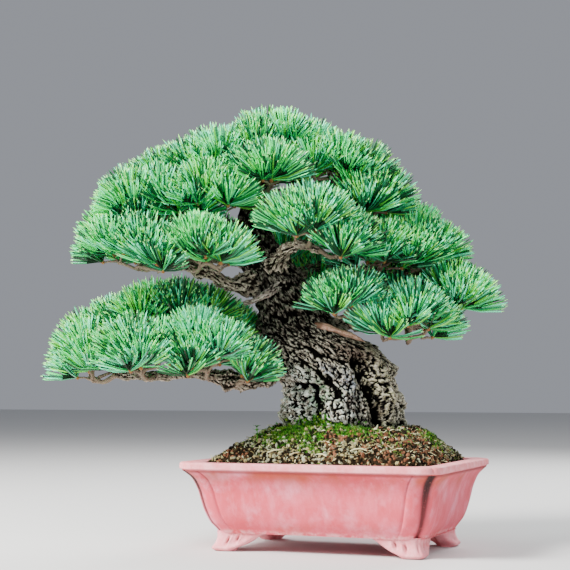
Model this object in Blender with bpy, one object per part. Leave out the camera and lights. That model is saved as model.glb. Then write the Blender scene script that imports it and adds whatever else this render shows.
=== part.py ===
# A Japanese white pine trained as a bonsai, standing in its shallow clay pot.
# Metres, +Z up. The pot's long side runs along X and its feet stand on Z = 0.
# The tree is worked out in its own frame: across (to the right of its front), back, up.
# That frame is turned about Z from the pot's, and the whole is moved at the end, so that the
# origin is the middle of the plant's box at the level of the feet.
import math
import random
from collections import namedtuple

import bmesh
import bpy
from mathutils import Vector
from mathutils.bvhtree import BVHTree

MM = 0.001
GAP = 0.3 * MM                      # clear space between pieces that touch on the real plant
TREE_TURN = math.radians(21.5)      # the tree's front, turned from the pot's long side

# Pot: outline with an inward notch at each corner, flared lip, tucked-in belly, four feet
RIM_LENGTH = 212 * MM
RIM_DEPTH = 167 * MM
POT_HEIGHT = 69.6 * MM
LIP_HEIGHT = 6.4 * MM
LIP_WIDTH = 15 * MM
LIP_EDGE = 0.7 * MM
WALL = 5.5 * MM
FLOOR = 6 * MM
BODY_BOTTOM = 14.4 * MM
TUCK_LENGTH = 21.5 * MM             # how far the belly's foot lies inside the rim, along X
TUCK_DEPTH = 28 * MM                # and along Y
NOTCH_DEPTH = 6.2 * MM              # the notch's point lies this far in from both sides
NOTCH_RUN = 11 * MM                 # and each side bends in to it over this length
NOTCH_STEPS = 2
INNER_NOTCH = 0.6                   # the notch inside the wall, as a share of the one outside
# Height in mm and share of the tuck, from the lip's underside down to the body's foot
WALL_PROFILE = [(63.2, 0.06), (60.5, 0.18), (56.3, 0.32), (48.3, 0.45), (41.0, 0.52),
                (34.0, 0.59), (27.0, 0.68), (22.3, 0.77), (18.0, 0.90), (14.4, 1.0)]
CAVITY_FLOOR = BODY_BOTTOM + FLOOR
CAVITY_LEVELS = [57 * MM, 46 * MM, 36 * MM, 28 * MM, CAVITY_FLOOR]
FOOT_THICK = 10 * MM
FOOT_INSET = 2 * MM
FOOT_SUNK = 1.2 * MM                # how far a foot reaches up into the body
FOOT_SOFT = 3 * MM                  # the foot's bevelled corners
# Height in mm, length of a wing and how far its face stands out, from the toe to the top
FOOT_PROFILE = [(0.0, 13, 1.0), (2.6, 18, 3.6), (6.0, 24, 1.6), (10.5, 30, 0.2), (14.4, 36, 0.4)]

# Soil, heaped from the pot's inner wall to a level seat under the trunk
SOIL_EDGE_UP = 64 * MM
SEAT_UP = 95 * MM
SEAT_CENTRE = (7 * MM, -5 * MM)     # across and back
SEAT_HALF = (56 * MM, 50 * MM)
# Share of the way in and share of the rise
MOUND_STEPS = [(0.14, 0.24), (0.32, 0.44), (0.56, 0.66), (0.80, 0.88)]
MOUND_ROUGH = 1.2 * MM

# Trunk sections: up, across, back, half width across, half width back (mm)
TRUNK_SECTIONS = [
    (0, 5, -5, 45.5, 41),
    (11, 3, -5, 47, 41),
    (22, 3, -4, 47, 40),
    (33, 2, -4, 43.5, 38),
    (46, -2, -3, 48, 39),
    (58, -9, -2, 48, 38),
    (66, -15, -1, 46, 35),
    (73, -24, 0, 39, 32),
    (82, -32, 0, 33.5, 29),
    (96, -38, 1, 28, 26),
    (111, -46, 2, 25, 23.5),
    (128, -55, 4, 23.5, 21),
    (146, -64, 5, 19, 17),
    (162, -69, 4, 14.5, 14),
    (178, -67, 2, 11, 11),
    (192, -62, 0, 8, 8),
    (203, -57, -1, 5.5, 5.5),
]
TRUNK_SIDES = 26
ROOT_FLARE = 0.10                   # depth of the root buttresses, as a share of the radius
BUTTRESSES = 7
BUTTRESS_TURN = 0.8
FLARE_HEIGHT = 60 * MM
CLEFT_ANGLE = math.radians(-60)     # the deep cleft in the foot, right of the front
CLEFT_WIDTH = math.radians(11)
CLEFT_DEPTH = 0.20
CLEFT_TOP = 48 * MM
BARK_WOBBLE = 0.035
WOBBLE_TURNS = (5, 3)               # waves of the wobble round the trunk
WOBBLE_RISES = (90, 140)            # and how fast they turn with the height, radians per metre

# Boughs: what each grows from, its bends in the tree's frame (mm), and its radii (mm)
BOUGHS = {
    "low_left_bough": ("trunk", [(-34, -6, 146), (-58, -14, 137), (-75, -20, 131)], 8.5, 6.8),
    "low_left_limb": ("low_left_bough",
                      [(-74, -20, 131), (-92, -22, 134.5), (-114, -21, 138.5), (-150, -15, 136),
                       (-176, -11, 137)], 7.2, 3.2),
    "low_left_rear_limb": ("low_left_limb",
                           [(-100, -21, 135.5), (-112, 4, 141), (-128, 24, 147)], 3.8, 2.2),
    "upper_left_bough": ("trunk", [(-56, -2, 214), (-84, -18, 208), (-100, -28, 216),
                                   (-122, -36, 222), (-142, -41, 221)], 8.5, 3.0),
    "left_crown_bough": ("trunk", [(-62, 3, 252), (-92, -4, 258), (-120, -9, 262),
                                   (-146, -12, 258)], 6.5, 3.0),
    "front_bough": ("trunk", [(-52, 0, 220), (-46, -22, 231), (-32, -38, 238),
                              (-15, -45, 233)], 7.5, 3.6),
    "right_crown_bough": ("trunk", [(-60, 4, 258), (-32, 8, 268), (-4, 10, 272),
                                    (18, 6, 266)], 6.0, 3.0),
    "right_bough": ("trunk", [(-38, 8, 200), (-8, 24, 211), (24, 24, 222),
                              (52, 14, 222)], 7.0, 3.0),
    "low_right_bough": ("trunk", [(-18, 8, 176), (7, 18, 179), (40, 20, 180), (72, 10, 177),
                                  (86, 2, 179)], 6.5, 2.8),
    "rear_left_bough": ("trunk", [(-54, 8, 222), (-78, 34, 230), (-104, 56, 234)], 6.0, 2.8),
    "rear_right_bough": ("trunk", [(-44, 8, 214), (-24, 38, 224), (-2, 62, 232)], 6.0, 2.8),
    "dead_stub": ("trunk", [(-44, -10, 209), (-56, -24, 201), (-66, -26, 195),
                            (-75, -25, 193)], 4.4, 1.8),
}
BOUGH_SIDES = 8
BOUGH_RINGS = 2                     # rings for each stretch between bends
KNOT_SIZE = 0.09
BOUGH_TAPER = 0.8                   # below 1 a bough thins faster near its root
TUBE_SIDE = Vector((0.31, 0.17, 0.93))    # the first corner of every tube turns this way

# Foliage
NEEDLE = 37 * MM                    # a spray's reach from its bud
NEEDLE_VARIES = (0.92, 1.04)
CORE_SIZES = (1.0, 0.8, 0.6)        # tried in turn, where others stand near
TOOTH_SHARES = (1.0, 0.8, 0.6, 0.4)
TOOTH_VARIES = (0.93, 1.0)
CORE_SHARE = 0.28                   # radius of the spray's solid core, as a share of its reach
STEM_RADIUS = 2.0 * MM
STEM_TAPER = 0.45                   # share of its radius that a stem loses on the way
STEM_SAG = 0.12                     # how far a stem bows down, as a share of its length
STEM_BELOW = 4 * MM                 # the stem ends this far under its mass's hub
TWIG_RADIUS = 1.3 * MM
TWIG_TIP = 0.8 * MM
TWIG_SUNK = 5 * MM                  # how far a twig's end lies inside its spray
TWIG_SPAN = (0.62, 0.34)            # twigs leave the stem from this share on, over this share
CLEAR = 0.6 * MM                    # kept between one mass and whatever else it could touch
BUD_SHIFT = 3 * MM                  # how far the seeded rule moves a bud from its even place
GOLDEN_ANGLE = math.pi * (3 - math.sqrt(5))
# Bands of needles in a spray: angle from its axis, share of the reach
BANDS = [(28, 0.97), (66, 1.0), (79, 0.98)]
TIP_ANGLE_VARIES = 3                # degrees from the band's angle
TIP_TURN_VARIES = 6                 # degrees about the spray's axis
SPRAY_SPREAD = 0.45                 # how far a spray leans away from its mass's middle
PAD_LEAN = 0.5                      # and from the middle of its pad
# A pad of foliage: its middle and half size across and back (mm)
PADS = {
    "low": ((-142, 4), (80, 66)),
    "crown": ((-46, 4), (140, 100)),
}

# Masses: the pad it belongs to, the limb and the share along it that its stem leaves from, its hub
# (mm), its spread across, back and up (mm), the turn of its first twig (degrees), its sprays
Mass = namedtuple("Mass", "pad limb share hub spread first sprays")
Core = namedtuple("Core", "twig bud axis reach spin points")
MASSES = {
    "low_tip_foliage": Mass("low", "low_left_limb", 1.0, (-194, -4, 136), (18, 22, 14), 218, 4),
    "low_front_foliage": Mass("low", "low_left_limb", 0.72, (-154, -42, 142), (20, 18, 13), 228, 4),
    "low_middle_foliage": Mass("low", "low_left_limb", 0.40, (-102, -46, 143), (20, 14, 15), 178, 4),
    "low_inner_foliage": Mass("low", "low_left_limb", 0.12, (-74, -39, 137), (0, 0, 0), 0, 1),
    "low_outer_foliage": Mass("low", "low_left_limb", 0.92, (-179, 26, 156), (20, 22, 14), 132, 4),
    "low_crown_foliage": Mass("low", "low_left_limb", 0.62, (-136, 2, 177), (32, 16, 10), 170, 5),
    "low_rear_foliage": Mass("low", "low_left_rear_limb", 1.0, (-134, 46, 158), (30, 20, 16), 90, 5),
    "low_rear_inner_foliage": Mass("low", "low_left_rear_limb", 0.55, (-96, 26, 160),
                                   (14, 16, 8), 30, 3),
    "left_front_foliage": Mass("crown", "upper_left_bough", 1.0, (-156, -48, 222),
                               (21, 20, 12), 268, 4),
    "left_near_foliage": Mass("crown", "upper_left_bough", 0.66, (-106, -58, 224), (14, 9, 6), 95, 3),
    "left_tip_foliage": Mass("crown", "left_crown_bough", 1.0, (-159, -8, 244), (17, 26, 16), 350, 5),
    "left_middle_foliage": Mass("crown", "left_crown_bough", 0.80, (-141, -27, 262),
                                (25, 15, 10), 292, 4),
    "left_inner_foliage": Mass("crown", "left_crown_bough", 0.35, (-98, -35, 270), (14, 11, 8), 65, 3),
    "left_top_foliage": Mass("crown", "left_crown_bough", 0.60, (-136, 10, 278), (29, 20, 14), 350, 5),
    "left_rear_foliage": Mass("crown", "rear_left_bough", 1.0, (-146, 50, 247), (28, 24, 16), 40, 5),
    "rear_left_low_foliage": Mass("crown", "rear_left_bough", 0.75, (-108, 78, 236),
                                  (26, 18, 12), 160, 5),
    "top_left_foliage": Mass("crown", "trunk", 0.90, (-96, 0, 296), (20, 22, 11), 148, 4),
    "apex_foliage": Mass("crown", "trunk", 1.0, (-50, 2, 314), (26, 22, 8), 170, 5),
    "top_front_foliage": Mass("crown", "trunk", 0.86, (-56, -36, 285), (14, 9, 4), 20, 3),
    "top_right_foliage": Mass("crown", "right_crown_bough", 0.55, (-4, -6, 293), (24, 18, 10), 310, 4),
    "top_rear_foliage": Mass("crown", "trunk", 0.82, (-58, 44, 292), (34, 18, 12), 75, 5),
    "right_shoulder_foliage": Mass("crown", "right_crown_bough", 1.0, (26, -4, 264),
                                   (15, 20, 14), 198, 4),
    "front_foliage": Mass("crown", "front_bough", 0.80, (-23, -63, 246), (16, 7, 3), 265, 3),
    "front_tip_foliage": Mass("crown", "front_bough", 1.0, (-1, -55, 231), (10, 6, 4), 290, 2),
    "right_middle_foliage": Mass("crown", "right_bough", 0.70, (34, -21, 226), (14, 14, 6), 270, 3),
    "right_outer_foliage": Mass("crown", "right_bough", 1.0, (67, 2, 223), (15, 22, 13), 198, 4),
    "right_rear_foliage": Mass("crown", "right_bough", 0.62, (43, 50, 244), (26, 20, 14), 120, 5),
    "low_right_inner_foliage": Mass("crown", "low_right_bough", 0.38, (4, -46, 187), (10, 6, 2), 200, 2),
    "low_right_front_foliage": Mass("crown", "low_right_bough", 0.62, (54, -45, 168),
                                    (26, 13, 12), 272, 3),
    "low_right_tip_foliage": Mass("crown", "low_right_bough", 1.0, (92, -5, 188), (13, 24, 16), 110, 5),
    "low_right_rear_foliage": Mass("crown", "low_right_bough", 0.50, (62, 42, 194),
                                   (24, 20, 14), 50, 5),
    "rear_foliage": Mass("crown", "rear_right_bough", 1.0, (2, 82, 246), (28, 18, 14), 240, 5),
    "rear_middle_foliage": Mass("crown", "rear_right_bough", 0.60, (-48, 84, 226), (22, 16, 12), 10, 4),
    "rear_low_foliage": Mass("crown", "rear_right_bough", 0.35, (-16, 66, 200), (18, 16, 8), 300, 3),
}

# Colours from the plant: red, green, blue and roughness
CLAY = ((0.72, 0.36, 0.33), 0.75)
EARTH = ((0.20, 0.15, 0.09), 0.95)
BARK = ((0.22, 0.19, 0.15), 0.9)
DEAD_WOOD = ((0.50, 0.46, 0.40), 0.85)
FOLIAGE = ((0.22, 0.50, 0.24), 0.6)


def tree_point(across, back, up):
    turned_x = across * math.cos(TREE_TURN) - back * math.sin(TREE_TURN)
    turned_y = across * math.sin(TREE_TURN) + back * math.cos(TREE_TURN)
    return Vector((turned_x, turned_y, up))


def from_mm(point):
    return tree_point(point[0] * MM, point[1] * MM, point[2] * MM)


def clear_scene():
    for thing in list(bpy.data.objects):
        bpy.data.objects.remove(thing, do_unlink=True)


def make_material(name, finish):
    colour, roughness = finish
    material = bpy.data.materials.new(name)
    material.use_nodes = True
    shader = material.node_tree.nodes["Principled BSDF"]
    shader.inputs["Base Color"].default_value = (*colour, 1)
    shader.inputs["Roughness"].default_value = roughness
    shader.inputs["Metallic"].default_value = 0.0
    return material


def make_object(name, shape):
    mesh = bpy.data.meshes.new(name)
    mesh.from_pydata([tuple(v) for v in shape[0]], [], shape[1])
    mesh.update()
    thing = bpy.data.objects.new(name, mesh)
    bpy.context.scene.collection.objects.link(thing)
    return thing


def apply_modifiers(thing):
    bpy.context.view_layer.update()
    evaluated = thing.evaluated_get(bpy.context.evaluated_depsgraph_get())
    mesh = bpy.data.meshes.new_from_object(evaluated)
    thing.modifiers.clear()
    thing.data = mesh


def boolean(thing, operation, others, solver):
    group = bpy.data.collections.new("operands")
    bpy.context.scene.collection.children.link(group)
    for other in others:
        bpy.context.scene.collection.objects.unlink(other)
        group.objects.link(other)
    cut = thing.modifiers.new("join", "BOOLEAN")
    cut.operation = operation
    cut.solver = solver
    cut.operand_type = "COLLECTION"
    cut.collection = group
    apply_modifiers(thing)
    for other in others:
        bpy.data.objects.remove(other, do_unlink=True)
    bpy.data.collections.remove(group)


def signed_volume(faces):
    total = 0.0
    for face in faces:
        first = face.verts[0].co
        for a, b in zip(face.verts[1:-1], face.verts[2:]):
            total += first.dot(a.co.cross(b.co)) / 6
    return total


def islands(mesh_copy):
    left = set(mesh_copy.faces)
    found = []
    while left:
        group = [left.pop()]
        for face in group:
            for edge in face.edges:
                for near in edge.link_faces:
                    if near in left:
                        left.remove(near)
                        group.append(near)
        found.append(group)
    return found


# Keeps the largest closed body: sealed hollows are filled and loose scraps dropped
def keep_one_body(thing):
    body = bmesh.new()
    body.from_mesh(thing.data)
    bmesh.ops.triangulate(body, faces=body.faces[:])
    groups = islands(body)
    largest = max(groups, key=signed_volume)
    spare = [face for group in groups if group is not largest for face in group]
    bmesh.ops.delete(body, geom=spare, context="FACES")
    body.to_mesh(thing.data)
    body.free()


# Joins rings of points with the same count into one closed skin, with a cap at each end
def loft(rings):
    count = len(rings[0])
    points = [point for ring in rings for point in ring]
    faces = [tuple(reversed(range(count)))]
    for level in range(len(rings) - 1):
        for i in range(count):
            j = (i + 1) % count
            low, high = level * count, (level + 1) * count
            faces.append((low + i, low + j, high + j, high + i))
    last = (len(rings) - 1) * count
    faces.append(tuple(range(last, last + count)))
    return points, faces


def along_curve(points, share):
    last = len(points) - 1
    place = min(max(share, 0.0), 1.0) * last
    i = min(int(place), last - 1)
    t = place - i
    before = points[max(i - 1, 0)]
    start, end = points[i], points[i + 1]
    after = points[min(i + 2, last)]
    return 0.5 * ((2 * start) + (end - before) * t
                  + (2 * before - 5 * start + 4 * end - after) * t * t
                  + (3 * start - before - 3 * end + after) * t * t * t)


def ring_around(centre, direction, side, radius, sides):
    across = (side - direction * side.dot(direction)).normalized()
    over = direction.cross(across)
    ring = []
    for i in range(sides):
        turn = 2 * math.pi * i / sides
        ring.append(centre + (across * math.cos(turn) + over * math.sin(turn)) * radius)
    return ring, across


def tube(points, radii, sides):
    side = TUBE_SIDE
    rings = []
    for i, centre in enumerate(points):
        ahead = points[min(i + 1, len(points) - 1)] - points[max(i - 1, 0)]
        ring, side = ring_around(centre, ahead.normalized(), side, radii[i], sides)
        rings.append(ring)
    return loft(rings)


# Pot

def notched_outline(half_x, half_y, size):
    depth, run = NOTCH_DEPTH * size, NOTCH_RUN * size
    corners = [((half_x, -half_y), (1, 0), (0, 1)), ((half_x, half_y), (0, 1), (-1, 0)),
               ((-half_x, half_y), (-1, 0), (0, -1)), ((-half_x, -half_y), (0, -1), (1, 0))]
    outline = []
    for corner, arrive, leave in corners:
        corner, arrive, leave = Vector(corner), Vector(arrive), Vector(leave)
        first = corner - arrive * (depth + run) + leave * depth
        second = corner - arrive * depth + leave * (depth + run)
        for step in range(NOTCH_STEPS):
            turn = math.pi / 2 * step / NOTCH_STEPS
            outline.append(first + arrive * run * math.sin(turn) - leave * depth * math.cos(turn))
        for step in range(NOTCH_STEPS + 1):
            turn = math.pi / 2 * step / NOTCH_STEPS
            outline.append(second + arrive * depth * math.sin(turn) - leave * run * math.cos(turn))
    return outline


def pot_ring(inset_x, inset_y, up, notch_size=1.0):
    outline = notched_outline(RIM_LENGTH / 2 - inset_x, RIM_DEPTH / 2 - inset_y, notch_size)
    return [Vector((p.x, p.y, up)) for p in outline]


def inner_insets(up):
    share = WALL_PROFILE[-1][1]
    for (high, share_high), (low, share_low) in zip(WALL_PROFILE, WALL_PROFILE[1:]):
        if low * MM <= up:
            t = (up - low * MM) / ((high - low) * MM)
            share = share_low + (share_high - share_low) * min(t, 1.0)
            break
    return (max(share * TUCK_LENGTH + WALL, LIP_WIDTH), max(share * TUCK_DEPTH + WALL, LIP_WIDTH))


def inner_ring(up, spare=0.0):
    inset_x, inset_y = inner_insets(up)
    return pot_ring(inset_x + spare, inset_y + spare, up, INNER_NOTCH)


def pot_shape():
    rings = [pot_ring(share * TUCK_LENGTH, share * TUCK_DEPTH, up * MM)
             for up, share in reversed(WALL_PROFILE)]
    lip_bottom = POT_HEIGHT - LIP_HEIGHT
    rings += [pot_ring(LIP_EDGE, LIP_EDGE, lip_bottom), pot_ring(0, 0, lip_bottom + LIP_EDGE),
              pot_ring(0, 0, POT_HEIGHT - LIP_EDGE), pot_ring(LIP_EDGE, LIP_EDGE, POT_HEIGHT)]
    rings.append(pot_ring(LIP_WIDTH - LIP_EDGE, LIP_WIDTH - LIP_EDGE, POT_HEIGHT, INNER_NOTCH))
    rings.append(inner_ring(POT_HEIGHT - LIP_EDGE))
    rings += [inner_ring(up) for up in CAVITY_LEVELS]
    return loft(rings)


# One bracket foot: two wings that meet under a corner and lengthen towards the top
def foot_shape(sign_x, sign_y):
    corner_x = RIM_LENGTH / 2 - TUCK_LENGTH - FOOT_INSET
    corner_y = RIM_DEPTH / 2 - TUCK_DEPTH - FOOT_INSET
    rings = []
    for up, wing, out in FOOT_PROFILE:
        wing, out = wing * MM, out * MM
        height = up * MM if up * MM < BODY_BOTTOM else BODY_BOTTOM + FOOT_SUNK
        x, y = corner_x + out, corner_y + out
        in_x, in_y = corner_x - FOOT_THICK, corner_y - FOOT_THICK
        soft = FOOT_SOFT
        outline = [(x - wing, y), (x - soft, y), (x, y - soft), (x, y - wing),
                   (x - soft, y - wing - soft), (in_x, y - wing - soft), (in_x, in_y),
                   (x - wing - soft, in_y), (x - wing - soft, y - soft)]
        if sign_x * sign_y > 0:
            outline.reverse()
        rings.append([Vector((sign_x * px, sign_y * py, height)) for px, py in outline])
    return loft(rings)


def build_pot():
    pot = make_object("pot", pot_shape())
    feet = [make_object("foot", foot_shape(sx, sy)) for sx in (-1, 1) for sy in (-1, 1)]
    boolean(pot, "UNION", feet, "EXACT")
    keep_one_body(pot)
    pot.data.materials.clear()
    pot.data.materials.append(make_material("unglazed pink clay", CLAY))
    return pot


# Soil

def seat_point(direction):
    turn = math.atan2(direction.y, direction.x) - TREE_TURN
    return tree_point(SEAT_CENTRE[0] + SEAT_HALF[0] * math.cos(turn),
                      SEAT_CENTRE[1] + SEAT_HALF[1] * math.sin(turn), SEAT_UP)


def build_soil():
    rough = random.Random(4)
    levels = [CAVITY_FLOOR + GAP] + list(reversed(CAVITY_LEVELS[:-1]))
    rings = [inner_ring(up, GAP) for up in levels]
    edge = inner_ring(SOIL_EDGE_UP, GAP)
    seat = [seat_point(point) for point in edge]
    rings.append(edge)
    for way_in, rise in MOUND_STEPS:
        ring = []
        for start, end in zip(edge, seat):
            point = start.lerp(end, way_in)
            point.z = SOIL_EDGE_UP + (SEAT_UP - SOIL_EDGE_UP) * rise
            point.z += rough.uniform(-MOUND_ROUGH, MOUND_ROUGH)
            ring.append(point)
        rings.append(ring)
    rings.append(seat)
    soil = make_object("soil", loft(rings))
    soil.data.materials.append(make_material("dried moss and clay crumbs", EARTH))
    return soil


# Trunk and boughs

def trunk_swell(turn, up):
    flare = max(0.0, 1 - up / FLARE_HEIGHT)
    swell = 1 + ROOT_FLARE * flare * math.sin(BUTTRESSES * turn + BUTTRESS_TURN)
    off_cleft = (turn - CLEFT_ANGLE + math.pi) % (2 * math.pi) - math.pi
    fade = max(0.0, 1 - (up / CLEFT_TOP) ** 2)
    swell -= CLEFT_DEPTH * fade * math.exp(-(off_cleft / CLEFT_WIDTH) ** 2)
    wave = math.sin(WOBBLE_TURNS[0] * turn + WOBBLE_RISES[0] * up)
    return swell + BARK_WOBBLE * wave * math.cos(WOBBLE_TURNS[1] * turn - WOBBLE_RISES[1] * up)


def trunk_ring(section, spare):
    up, across, back, half_across, half_back = [value * MM for value in section]
    ring = []
    for i in range(TRUNK_SIDES):
        turn = 2 * math.pi * i / TRUNK_SIDES
        swell = trunk_swell(turn, up)
        ring.append(tree_point(across + (half_across * swell + spare) * math.cos(turn),
                               back + (half_back * swell + spare) * math.sin(turn),
                               SEAT_UP + GAP + up))
    return ring


def trunk_shape(spare=0.0):
    rings = [trunk_ring(section, spare) for section in TRUNK_SECTIONS]
    if spare:
        rings[-1] = [point + Vector((0, 0, spare)) for point in rings[-1]]
    return loft(rings)


# The trunk's middle at a share of its height
def trunk_middle(share):
    height = TRUNK_SECTIONS[-1][0] * share
    for low, high in zip(TRUNK_SECTIONS, TRUNK_SECTIONS[1:]):
        if height <= high[0]:
            break
    t = (height - low[0]) / (high[0] - low[0])
    return from_mm([low[i] + (high[i] - low[i]) * t for i in (1, 2, 0)]) + Vector((0, 0, SEAT_UP))


def bough_curve(name):
    return [from_mm(point) for point in BOUGHS[name][1]]


def bough_shape(name, spare=0.0):
    bends = bough_curve(name)
    thick, thin = BOUGHS[name][2] * MM, BOUGHS[name][3] * MM
    knots = random.Random(name)
    count = BOUGH_RINGS * (len(bends) - 1) + 1
    points, radii = [], []
    for i in range(count):
        share = i / (count - 1)
        knot = 1 + KNOT_SIZE * knots.uniform(-1, 1) * (0 < i < count - 1)
        points.append(along_curve(bends, share))
        radii.append((thick + (thin - thick) * share ** BOUGH_TAPER) * knot + spare)
    if spare:
        points[-1] = points[-1] + (points[-1] - points[-2]).normalized() * spare
    return tube(points, radii, BOUGH_SIDES)


def limb_shape(name, spare=0.0):
    return trunk_shape(spare) if name == "trunk" else bough_shape(name, spare)


def limb_point(name, share):
    return trunk_middle(share) if name == "trunk" else along_curve(bough_curve(name), share)


def cut_clear(thing, limb):
    cutter = make_object("clear_" + limb, limb_shape(limb, GAP))
    boolean(thing, "DIFFERENCE", [cutter], "MANIFOLD")
    keep_one_body(thing)


def build_wood():
    wood = [make_object("trunk", trunk_shape())]
    wood[0].data.materials.append(make_material("plated pine bark", BARK))
    for name, (parent, bends, thick, thin) in BOUGHS.items():
        bough = make_object(name, bough_shape(name))
        cut_clear(bough, parent)
        finish = DEAD_WOOD if name == "dead_stub" else BARK
        bough.data.materials.clear()
        bough.data.materials.append(make_material(name.replace("_", " ") + " bark", finish))
        wood.append(bough)
    return wood


# Foliage

# A spray: a slim core on its bud, with a tooth of needles standing out of every upper face
def spray_frame(axis, spin):
    side = Vector((math.cos(spin), math.sin(spin), 0.2))
    across = (side - axis * side.dot(axis)).normalized()
    return across, axis.cross(across)


# The core is an icosahedron whose lowest point is the bud
def spray_core(bud, axis, reach, spin):
    across, over = spray_frame(axis, spin)
    radius = reach * CORE_SHARE
    centre = bud + axis * radius
    points = [bud]
    for height, twist in ((-1, 0.5), (1, 0.0)):
        for i in range(5):
            turn = 2 * math.pi * (i + twist) / 5
            flat = (across * math.cos(turn) + over * math.sin(turn)) * (2 / math.sqrt(5))
            points.append(centre + (flat + axis * (height / math.sqrt(5))) * radius)
    points.append(centre + axis * radius)
    return points


def core_underside():
    return [(0, 1 + (i + 1) % 5, 1 + i) for i in range(5)]


# Each tooth's face on the core, its band and its turn about the axis
def spray_teeth():
    teeth = []
    for i in range(5):
        j = (i + 1) % 5
        low_i, low_j, high_i, high_j, top = 1 + i, 1 + j, 6 + i, 6 + j, 11
        teeth.append(((high_i, high_j, top), 0, (i + 0.5) / 5))
        teeth.append(((high_j, high_i, low_i), 1, (i + 0.5) / 5))
        teeth.append(((low_i, low_j, high_j), 2, (i + 1.0) / 5))
    return teeth


def core_faces():
    return core_underside() + [face for face, band, turn in spray_teeth()]


def tooth_tip(core, band, turn, chance):
    across, over = spray_frame(core.axis, core.spin)
    angle = math.radians(BANDS[band][0] + chance.uniform(-TIP_ANGLE_VARIES, TIP_ANGLE_VARIES))
    turn = 2 * math.pi * turn + math.radians(chance.uniform(-TIP_TURN_VARIES, TIP_TURN_VARIES))
    out = (across * math.cos(turn) + over * math.sin(turn)) * math.sin(angle)
    length = core.reach * BANDS[band][1] * chance.uniform(*TOOTH_VARIES)
    tip = core.bud + (out + core.axis * math.cos(angle)) * length
    tip.z = max(tip.z, core.bud.z)
    return tip


def search_tree(shape):
    return BVHTree.FromPolygons([tuple(p) for p in shape[0]], shape[1])


def shape_of(thing):
    return [v.co for v in thing.data.vertices], [tuple(p.vertices) for p in thing.data.polygons]


def touches(shape, trees):
    tree = search_tree(shape)
    return any(tree.overlap(other) for other in trees)


# The same points pushed out from their middle, to test that a clear space is left round them
def pushed_out(points):
    middle = sum(points, Vector()) / len(points)
    return [p + (p - middle).normalized() * CLEAR for p in points]


# The largest core that stays clear of the others, or none
def clear_core(bud, axis, reach, spin, others):
    for size in CORE_SIZES:
        points = spray_core(bud, axis, reach * size, spin)
        if not touches((pushed_out(points), core_faces()), others):
            return points
    return None


# The longest reach of a tooth that stays clear, or none
def clear_tooth(corners, tip, blockers):
    middle = sum(corners, Vector()) / 3
    for share in TOOTH_SHARES:
        end = middle.lerp(tip, share)
        trial = pushed_out(corners) + [end + (end - middle).normalized() * 2 * CLEAR]
        if not touches((trial, [(0, 1, 3), (1, 2, 3), (2, 0, 3)]), blockers):
            return end
    return None


# The core with a tooth of needles on each upper face that has room for one
def spray_shape(core, chance, blockers):
    points = list(core.points)
    faces = core_underside()
    for face, band, turn in spray_teeth():
        tip = tooth_tip(core, band, turn, chance)
        end = clear_tooth([points[i] for i in face], tip, blockers)
        if end is None:
            faces.append(face)
            continue
        last = len(points)
        points.append(end)
        faces += [(face[0], face[1], last), (face[1], face[2], last), (face[2], face[0], last)]
    return points, faces


# Buds spread over a low dome by the golden angle, each with the way its spray points
def mass_buds(name):
    mass = MASSES[name]
    chance = random.Random(name)
    middle, half = PADS[mass.pad]
    lean = [(mass.hub[i] - middle[i]) / half[i] * PAD_LEAN for i in (0, 1)]
    buds = []
    for k in range(mass.sprays):
        way_out = math.sqrt((k + 0.5) / mass.sprays)
        turn = math.radians(mass.first) + k * GOLDEN_ANGLE
        across, back = math.cos(turn) * way_out, math.sin(turn) * way_out
        dome = (across, back, 1 - way_out ** 2)
        bud = [(mass.hub[i] + mass.spread[i] * dome[i]) * MM + chance.uniform(-BUD_SHIFT, BUD_SHIFT)
               for i in range(3)]
        axis = Vector((lean[0] + SPRAY_SPREAD * across, lean[1] + SPRAY_SPREAD * back, 1.0))
        buds.append((tree_point(*bud), tree_point(*axis.normalized())))
    return buds


# The stem leaves its limb, bows down and ends under the mass's hub
def stem_bends(name):
    mass = MASSES[name]
    start = limb_point(mass.limb, mass.share)
    end = from_mm(mass.hub) - Vector((0, 0, STEM_BELOW))
    middle = start.lerp(end, 0.5) - Vector((0, 0, STEM_SAG * (end - start).length))
    return [start, middle, end]


def stem_shape(name):
    bends = stem_bends(name)
    shares = [i / 3 for i in range(4)]
    return tube([along_curve(bends, share) for share in shares],
                [STEM_RADIUS * (1 - STEM_TAPER * share) for share in shares], 3)


def twig_shape(name, k, bud, axis):
    first, span = TWIG_SPAN
    leave = along_curve(stem_bends(name), first + span * (k + 1) / MASSES[name].sprays)
    return tube([leave, bud + axis * TWIG_SUNK], [TWIG_RADIUS, TWIG_TIP], 3)


def other_trees(grown, name):
    return [tree for other, trees in grown.items() if other != name for tree in trees]


# Stems, and those twigs that stay clear of every limb and of the other masses
def grow_wood(limbs, grown):
    shapes = {}
    for name, mass in MASSES.items():
        stem = stem_shape(name)
        away = [tree for limb, tree in limbs.items() if limb != mass.limb] + other_trees(grown, name)
        if touches((pushed_out(stem[0]), stem[1]), away):
            raise RuntimeError("a stem meets another limb: " + name)
        kept = [stem]
        for k, (bud, axis) in enumerate(mass_buds(name)):
            twig = twig_shape(name, k, bud, axis)
            if touches((pushed_out(twig[0]), twig[1]), away + [limbs[mass.limb]]):
                kept.append(None)
            else:
                kept.append(twig)
        shapes[name] = kept
        grown[name] = [search_tree(shape) for shape in kept if shape]
    return shapes


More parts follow.
